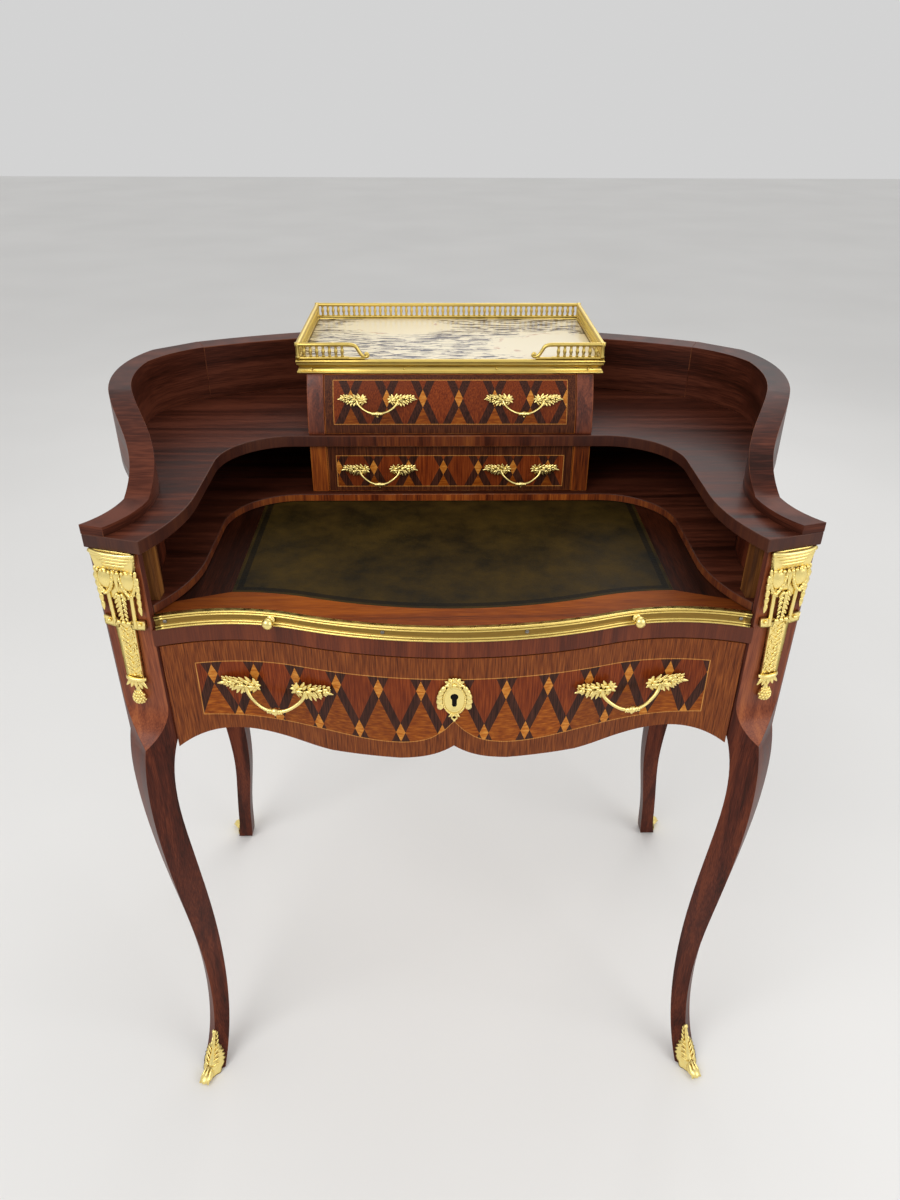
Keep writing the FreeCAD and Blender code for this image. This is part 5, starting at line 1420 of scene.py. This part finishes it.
@dataclass
class WritingSlide:
    """The slide: banded board, olive leather, brass front edge with two turned pulls."""

    half: float = 297.8 * MM
    foot: float = 729.0 * MM
    pull_x: float = 184.0 * MM
    steps: int = 72
    # distance behind the foremost line and height above the foot, in millimetres; the four reeds are drawn
    # coarser than real ones, which would be too fine to show
    section: tuple[tuple[float, float], ...] = (
        (6.0, 16.0), (1.2, 16.0), (0.3, 15.7), (0.05, 15.0), (0.3, 14.3), (1.0, 14.0), (1.8, 13.5),
        (1.0, 13.0), (0.5, 12.7), (0.35, 12.1), (0.5, 11.5), (1.0, 11.2), (2.2, 10.6), (2.6, 8.0), (2.2, 5.4),
        (1.0, 4.8), (0.5, 4.5), (0.35, 3.9), (0.5, 3.3), (1.0, 3.0), (1.8, 2.5), (1.0, 2.0), (0.3, 1.7),
        (0.05, 1.0), (0.3, 0.3), (1.2, 0.0), (6.0, 0.0))
    # lower and upper height of each browned groove, and place of each screw, in millimetres
    grooves: tuple[tuple[float, float], ...] = ((13.0, 14.0), (4.8, 11.2), (2.0, 3.0))
    screws: tuple[float, ...] = (-289.0, -71.0, 71.0, 289.0)
    # radius and height of the turned screw heads and pulls, in millimetres
    screw: tuple[tuple[float, float], ...] = ((2.2, 0), (2.2, 0.8), (1.6, 1.3), (0.3, 1.5))
    pull: tuple[tuple[float, float], ...] = (
        (4.6, 0.0), (4.6, 1.8), (3.6, 2.6), (2.5, 3.4), (2.3, 5.2), (2.9, 5.8), (2.9, 6.6), (2.6, 7.0),
        (4.4, 8.2), (5.6, 10.0), (6.0, 12.3), (5.7, 14.4), (4.7, 16.4), (3.0, 17.7), (1.2, 18.2), (0.2, 18.3))
    # tooled band of the leather: distance from its outline, and width
    margin: float = 3.5 * MM
    band: float = 6.5 * MM

    def edge(self) -> None:
        """Draw the brass moulding along the front and set its screws."""
        cast = Casting()
        verts = [cast.bm.verts.new((-self.half, back * MM, self.foot + high * MM))
                 for back, high in self.section]
        face = cast.bm.faces.new(verts)
        move = Matrix.Translation((2 * self.half / self.steps, 0, 0))
        for _ in range(self.steps):
            face = cast.push(face, move)
        for strip in cast.bm.faces:
            high = (strip.calc_center_median().z - self.foot) / MM
            sunk = any(low < high < top for low, top in self.grooves)
            strip.material_index = int(sunk and abs(strip.normal.x) < 0.5)
        for vert in cast.bm.verts:
            vert.co.y = FRONT.y(vert.co.x, vert.co.y)
        cast.hand_over("brass_slide_edge", Body.SLIDE, ("slide_brass_edge",), (BRASS, BRASS_GROOVE))
        heads = Casting()
        for x in self.screws:
            at = aim((x * MM, FRONT.y(x * MM, 2.6 * MM), self.foot + 8 * MM), (0, -1, 0), (0, 0, 1))
            heads.turn([(wide * MM, high * MM) for wide, high in self.screw], at, 10)
        heads.hand_over("steel_slide_screws", Body.SLIDE, (), (STEEL,), Slot.STEEL)

    def mitre(self, board: bpy.types.Object) -> None:
        """Lay the side borders' veneer, darkened with painted shade, mitred to the front one at the corners of
        the leather.

        Args:
            board: the slide's board.
        """
        corners = [vert.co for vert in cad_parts["slide_leather"].data.vertices]
        reach = max(spot.x for spot in corners)
        near = min(spot.y for spot in corners if spot.x > reach - 4 * MM)
        bm = bmesh.new()
        bm.from_mesh(board.data)
        bmesh.ops.bisect_plane(bm, geom=bm.verts[:] + bm.edges[:] + bm.faces[:], plane_co=(0, 0, 0),
                               plane_no=(1, 0, 0))
        for hand in (-1, 1):
            at, across = Vector((hand * reach, near, 0)), Vector((-hand * 0.35, -1.0, 0)).normalized()
            side = [face for face in bm.faces if hand * face.calc_center_median().x > 0]
            rims = {edge for face in side for edge in face.edges}
            spots = {vert for face in side for vert in face.verts}
            bmesh.ops.bisect_plane(bm, geom=[*spots, *rims, *side], plane_co=at, plane_no=across)
            for face in bm.faces:
                middle = face.calc_center_median()
                if face.normal.z > 0.9 and hand * middle.x > 0 and (middle - at).dot(across) < 0:
                    face.material_index = 2
        bm.to_mesh(board.data)
        bm.free()
        board.data.materials.append(SLIDE_BORDER_SHADED.material())

    def tool(self, leather: bpy.types.Object) -> None:
        """Press the tooled band into the leather, a little inside its outline.

        Args:
            leather: the slide's leather.
        """
        bm = bmesh.new()
        bm.from_mesh(leather.data)
        top = [face for face in bm.faces if face.normal.z > 0.9 and face.calc_area() > 0.01]
        bmesh.ops.inset_region(bm, faces=top, thickness=self.margin, use_even_offset=True)
        band = bmesh.ops.inset_region(bm, faces=top, thickness=self.band, use_even_offset=True)
        for face in band["faces"]:
            face.material_index = 2
        bm.to_mesh(leather.data)
        bm.free()
        leather.data.materials.append(LEATHER_TOOLED.material())

    def pulls(self) -> None:
        """Turn the two pulls."""
        lowest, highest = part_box("slide_pulls")
        cast = Casting()
        for hand in (-1, 1):
            x = hand * self.pull_x
            root = FRONT.y(x, 2.2 * MM)
            reach = (root - lowest.y) / (self.pull[-1][1] * MM)
            slope = (FRONT.y(x + MM, 0) - FRONT.y(x - MM, 0)) / (2 * MM)
            at = aim((x, root, (lowest.z + highest.z) / 2), (slope, -1, 0), (0, 0, 1))
            cast.turn([(wide * MM, high * MM * reach * 0.97) for wide, high in self.pull], at, 20)
        cast.hand_over("brass_slide_pulls", Body.SLIDE, ("slide_pulls",))

    def build(self) -> None:
        """Dress the board and the leather and add the brasswork."""
        self.mitre(rub_down("slide_board", Body.SLIDE, SLIDE_WOOD, SLIDE_WOOD.worn(), 0.5 * MM))
        self.tool(rub_down("slide_leather", Body.SLIDE, LEATHER, LEATHER, 0.2 * MM))
        self.edge()
        self.pulls()


@dataclass
class CabinetTop:
    """Marble slab in a stepped gilt moulding, with a low gallery of balusters on three sides."""

    half: float = 184.0 * MM
    front: float = 56.0 * MM
    back: float = 270.0 * MM
    foot: float = 898.0 * MM
    rail: float = 915.0 * MM
    top: float = 935.0 * MM
    inset: float = 3.4 * MM
    return_run: float = 60.0 * MM
    # distance inside the outline and height above the foot, in millimetres
    section: tuple[tuple[float, float], ...] = (
        (5.0, 0.0), (1.6, 0.0), (1.0, 0.6), (1.0, 2.4), (1.6, 3.0), (2.6, 3.4), (3.3, 5.0), (3.4, 7.2),
        (2.8, 9.2), (1.8, 10.4), (1.0, 10.8), (1.0, 12.2), (1.5, 12.7), (0.4, 13.4), (0.0, 14.6), (0.3, 15.9),
        (1.0, 16.7), (2.0, 17.0), (5.0, 17.0))
    # radius and height of the turned screws and corner posts; for balusters the height is a share; millimetres
    screw: tuple[tuple[float, float], ...] = ((1.3, 0), (1.3, 1.0), (0.8, 1.5), (0.1, 1.6))
    post: tuple[tuple[float, float], ...] = (
        (3.2, 0), (3.2, 3.4), (2.4, 4.4), (2.4, 14.6), (3.2, 15.6), (3.2, 19.8), (1.6, 20.0))
    baluster: tuple[tuple[float, float], ...] = (
        (2.0, 0.0), (1.9, 0.12), (1.4, 0.22), (2.4, 0.45), (2.0, 0.65), (1.4, 0.82), (1.9, 0.92), (1.9, 1.0))
    # scroll at the end of a return: inward from it and below the top, in millimetres
    scroll: tuple[tuple[float, float], ...] = (
        (-2, 2.8), (4, 3.0), (9, 5.2), (12, 10.0), (15.5, 15.0), (20, 17.2), (23, 15.4), (21.4, 12.6),
        (19.2, 14.0))

    def moulding(self) -> None:
        """Mitre the moulding round the slab, ring by ring."""
        cast = Casting()
        middle = (self.front + self.back) / 2
        rings = []
        for inside, high in self.section:
            wide, deep = self.half - inside * MM, (self.back - self.front) / 2 - inside * MM
            at = (Matrix.Translation((0, middle, self.foot + high * MM)) @ Matrix.Diagonal((wide, deep, 1, 1))
                  @ Matrix.Rotation(math.radians(45), 4, "Z"))
            ring = bmesh.ops.create_circle(cast.bm, cap_ends=False, segments=4, radius=math.sqrt(2), matrix=at)
            rings.append({edge for vert in ring["verts"] for edge in vert.link_edges})
        for loop, nearby in zip(rings, rings[1:] + rings[:1]):
            bmesh.ops.bridge_loops(cast.bm, edges=list(loop | nearby))
        long = [edge for edge in cast.bm.edges if edge.calc_length() > 100 * MM]
        bmesh.ops.subdivide_edges(cast.bm, edges=long, cuts=3, use_grid_fill=True)
        for x in (-0.9, -0.3, 0.3, 0.9):
            at = aim((x * self.half, self.front + 3.6 * MM, self.foot + 6.0 * MM), (0, -1, 0), (0, 0, 1))
            cast.turn([(wide * MM, high * MM) for wide, high in self.screw], at, 8)
        cast.hand_over("gilt_gallery_moulding", Body.CARCASS, ("gallery_moulding",), (GALLERY_BRASS,))

    def run(self, cast: Casting, start: Vector, end: Vector, spaces: int) -> None:
        """Raise one run of the gallery, two rails with balusters between them.

        Args:
            cast: casting that takes the work.
            start: one end of the run, in plan.
            end: its other end.
            spaces: spaces between the balusters, which have few flats because there are over a hundred.
        """
        for z, wide, thick in ((self.top - 2.6 * MM, 2.9, 2.4), (self.rail + 1.7 * MM, 2.3, 1.7)):
            cast.carry([aim((*spot, z), (*(end - start), 0), (0, 0, 1))
                        @ Matrix.Diagonal((wide * MM, thick * MM, 1, 1)) for spot in (start, end)], 10)
        tall = self.top - self.rail - 7.4 * MM
        for index in range(1, spaces):
            at = Matrix.Translation((*start.lerp(end, index / spaces), self.rail + 3.0 * MM))
            cast.turn([(wide * MM, share * tall) for wide, share in self.baluster], at, 6)

    def fence(self) -> None:
        """Raise the gallery: rails, balusters, corner posts and scrolled returns."""
        cast = Casting()
        side, rear, fore = self.half - self.inset, self.back - self.inset, self.front + self.inset
        inner = side - self.return_run
        for start, end, spaces in (((-side, rear), (side, rear), 50), ((-side, fore), (-side, rear), 28),
                                   ((side, fore), (side, rear), 28), ((-side, fore), (-inner, fore), 8),
                                   ((inner, fore), (side, fore), 8)):
            self.run(cast, Vector(start), Vector(end), spaces)
        for x, y in ((-side, fore), (side, fore), (-side, rear), (side, rear)):
            cast.turn([(wide * MM, high * MM) for wide, high in self.post],
                      Matrix.Translation((x, y, self.rail)) @ Matrix.Rotation(math.radians(45), 4, "Z"), 8)
        for hand in (-1, 1):
            path = eased([(hand * (inner - inward * MM), fore, self.top - down * MM)
                          for inward, down in self.scroll], 4)
            cast.tube(path, (2.5 * MM, 2.2 * MM, 1.9 * MM, 1.4 * MM), 8, (0.0, -1.0, 0.0))
            cast.bead((hand * (inner - 20.6 * MM), fore, self.top - 14.4 * MM), 1.7 * MM, 1)
            cast.carry([aim((hand * (inner + step * MM), fore, self.rail + 1.4 * MM), (-hand, 0, 0), (0, 0, 1))
                        @ Matrix.Diagonal((1.9 * MM, 1.4 * MM, 1, 1)) for step in (0, -19)], 8)
        cast.hand_over("gilt_gallery", Body.CARCASS, ("gallery_fence",), (GALLERY_BRASS,))

    def build(self) -> None:
        """Bed the slab and raise the gilt work round it."""
        rub_down("marble_top", Body.CARCASS, MARBLE, MARBLE, 0.8 * MM)
        self.moulding()
        self.fence()


@dataclass
class Studio:
    """Pale floor, soft lamps, an even grey surround and the camera."""

    eye: tuple[float, float, float] = (-0.0181, -0.9856, 1.208)
    yaw: float = 0.0182
    pitch: float = 0.5403
    roll: float = 0.0051
    lens: float = 26.40
    sensor: float = 36.0
    surround: str = "#d8d8d8"
    surround_light: float = 1.0
    surround_seen: float = 0.95
    # name, place, length of a side in metres and watts of each lamp, and the point that they all face
    lamps: tuple[tuple[str, tuple[float, float, float], float, float], ...] = (
        ("lamp_key", (-1.5, -1.7, 2.6), 1.8, 36.0), ("lamp_fill", (1.9, -1.3, 1.7), 1.6, 18.0),
        ("lamp_back", (0.5, 1.9, 2.4), 1.8, 16.0))
    lit: tuple[float, float, float] = (0.0, 0.0, 0.6)

    def camera(self) -> None:
        """Stand the camera where the desk was seen from."""
        ahead = Vector((math.sin(self.yaw) * math.cos(self.pitch), math.cos(self.yaw) * math.cos(self.pitch),
                        -math.sin(self.pitch)))
        right = Vector((math.cos(self.yaw), -math.sin(self.yaw), 0.0))
        up = right.cross(ahead)
        level = right * math.cos(self.roll) + up * math.sin(self.roll)
        upright = up * math.cos(self.roll) - right * math.sin(self.roll)
        data = bpy.data.cameras.new("desk_camera")
        data.lens, data.sensor_width, data.sensor_fit = self.lens, self.sensor, "AUTO"
        data.clip_start = 0.05
        camera = bpy.data.objects.new("desk_camera", data)
        camera.matrix_world = (Matrix.Translation(self.eye)
                               @ Matrix((level, upright, -ahead)).transposed().to_4x4())
        bpy.context.scene.collection.objects.link(camera)
        bpy.context.scene.camera = camera

    def floor(self) -> None:
        """Lay the floor under the sabots."""
        bm = bmesh.new()
        bmesh.ops.create_grid(bm, x_segments=4, y_segments=4, size=12.0,
                              matrix=Matrix.Translation((0, 0, -0.3 * MM)))
        mesh = bpy.data.meshes.new("studio_floor")
        bm.to_mesh(mesh)
        bm.free()
        mesh.materials.append(Plaster("plaster_pale_floor").material())
        floor = bpy.data.objects.new("studio_floor", mesh)
        bpy.context.scene.collection.objects.link(floor)

    def hang_lamps(self) -> None:
        """Hang the soft lamps, each turned towards the desk."""
        for name, at, size, watts in self.lamps:
            data = bpy.data.lights.new(name, "AREA")
            data.shape, data.size, data.energy = "SQUARE", size, watts
            lamp = bpy.data.objects.new(name, data)
            lamp.location = at
            lamp.rotation_euler = (Vector(self.lit) - Vector(at)).to_track_quat("-Z", "Y").to_euler()
            bpy.context.scene.collection.objects.link(lamp)

    def world(self) -> None:
        """Set the surround: pale where it is seen or mirrored, a softer grey as light."""
        world = bpy.data.worlds.new("studio_surround")
        world.use_nodes = True
        tree = world.node_tree
        tree.nodes.clear()
        path = add_node(tree, "LightPath")
        seen = add_node(tree, "Math", {0: path.outputs["Is Camera Ray"], 1: path.outputs["Is Glossy Ray"]},
                        operation="MAXIMUM")
        shown = add_node(tree, "Math", {0: seen, 1: path.outputs["Is Transmission Ray"]}, operation="MAXIMUM")
        strength = add_node(tree, "MapRange", {"Value": shown, "To Min": self.surround_light,
                                               "To Max": self.surround_seen})
        back = add_node(tree, "Background", {"Color": linear(self.surround), "Strength": strength.outputs[0]})
        add_node(tree, "OutputWorld", {"Surface": back})
        bpy.context.scene.world = world

    def build(self) -> None:
        """Set up the studio with plain colour handling."""
        self.camera()
        self.floor()
        self.hang_lamps()
        self.world()
        bpy.context.scene.view_settings.view_transform = "Standard"


def main() -> None:
    """Build the desk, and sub-assembly by sub-assembly."""
    logging.basicConfig(level=logging.INFO, format="%(name)s %(message)s")
    upper = small_laying("marquetry_upper_drawer", 10.0, 872.0, 43.0, 891.5, 842.5)
    lower = small_laying("marquetry_lower_drawer", -8.5, 787.0, 43.0, 802.5, 762.0)
    for part in (
        Studio(), Joinery(), Sabot(), REAR_SABOT, Chute(), FriezeDrawer(), WritingSlide(),
        SmallDrawer("upper", Body.UPPER, upper, 43.8 * MM, 870.7 * MM, -18.0),
        SmallDrawer("lower", Body.LOWER, lower, 36.5 * MM, 785.5 * MM, 0.0),
        CabinetTop(),
    ):
        part.build()
        log.info("%s built", type(part).__name__)


if __name__ == "__main__":
    main()
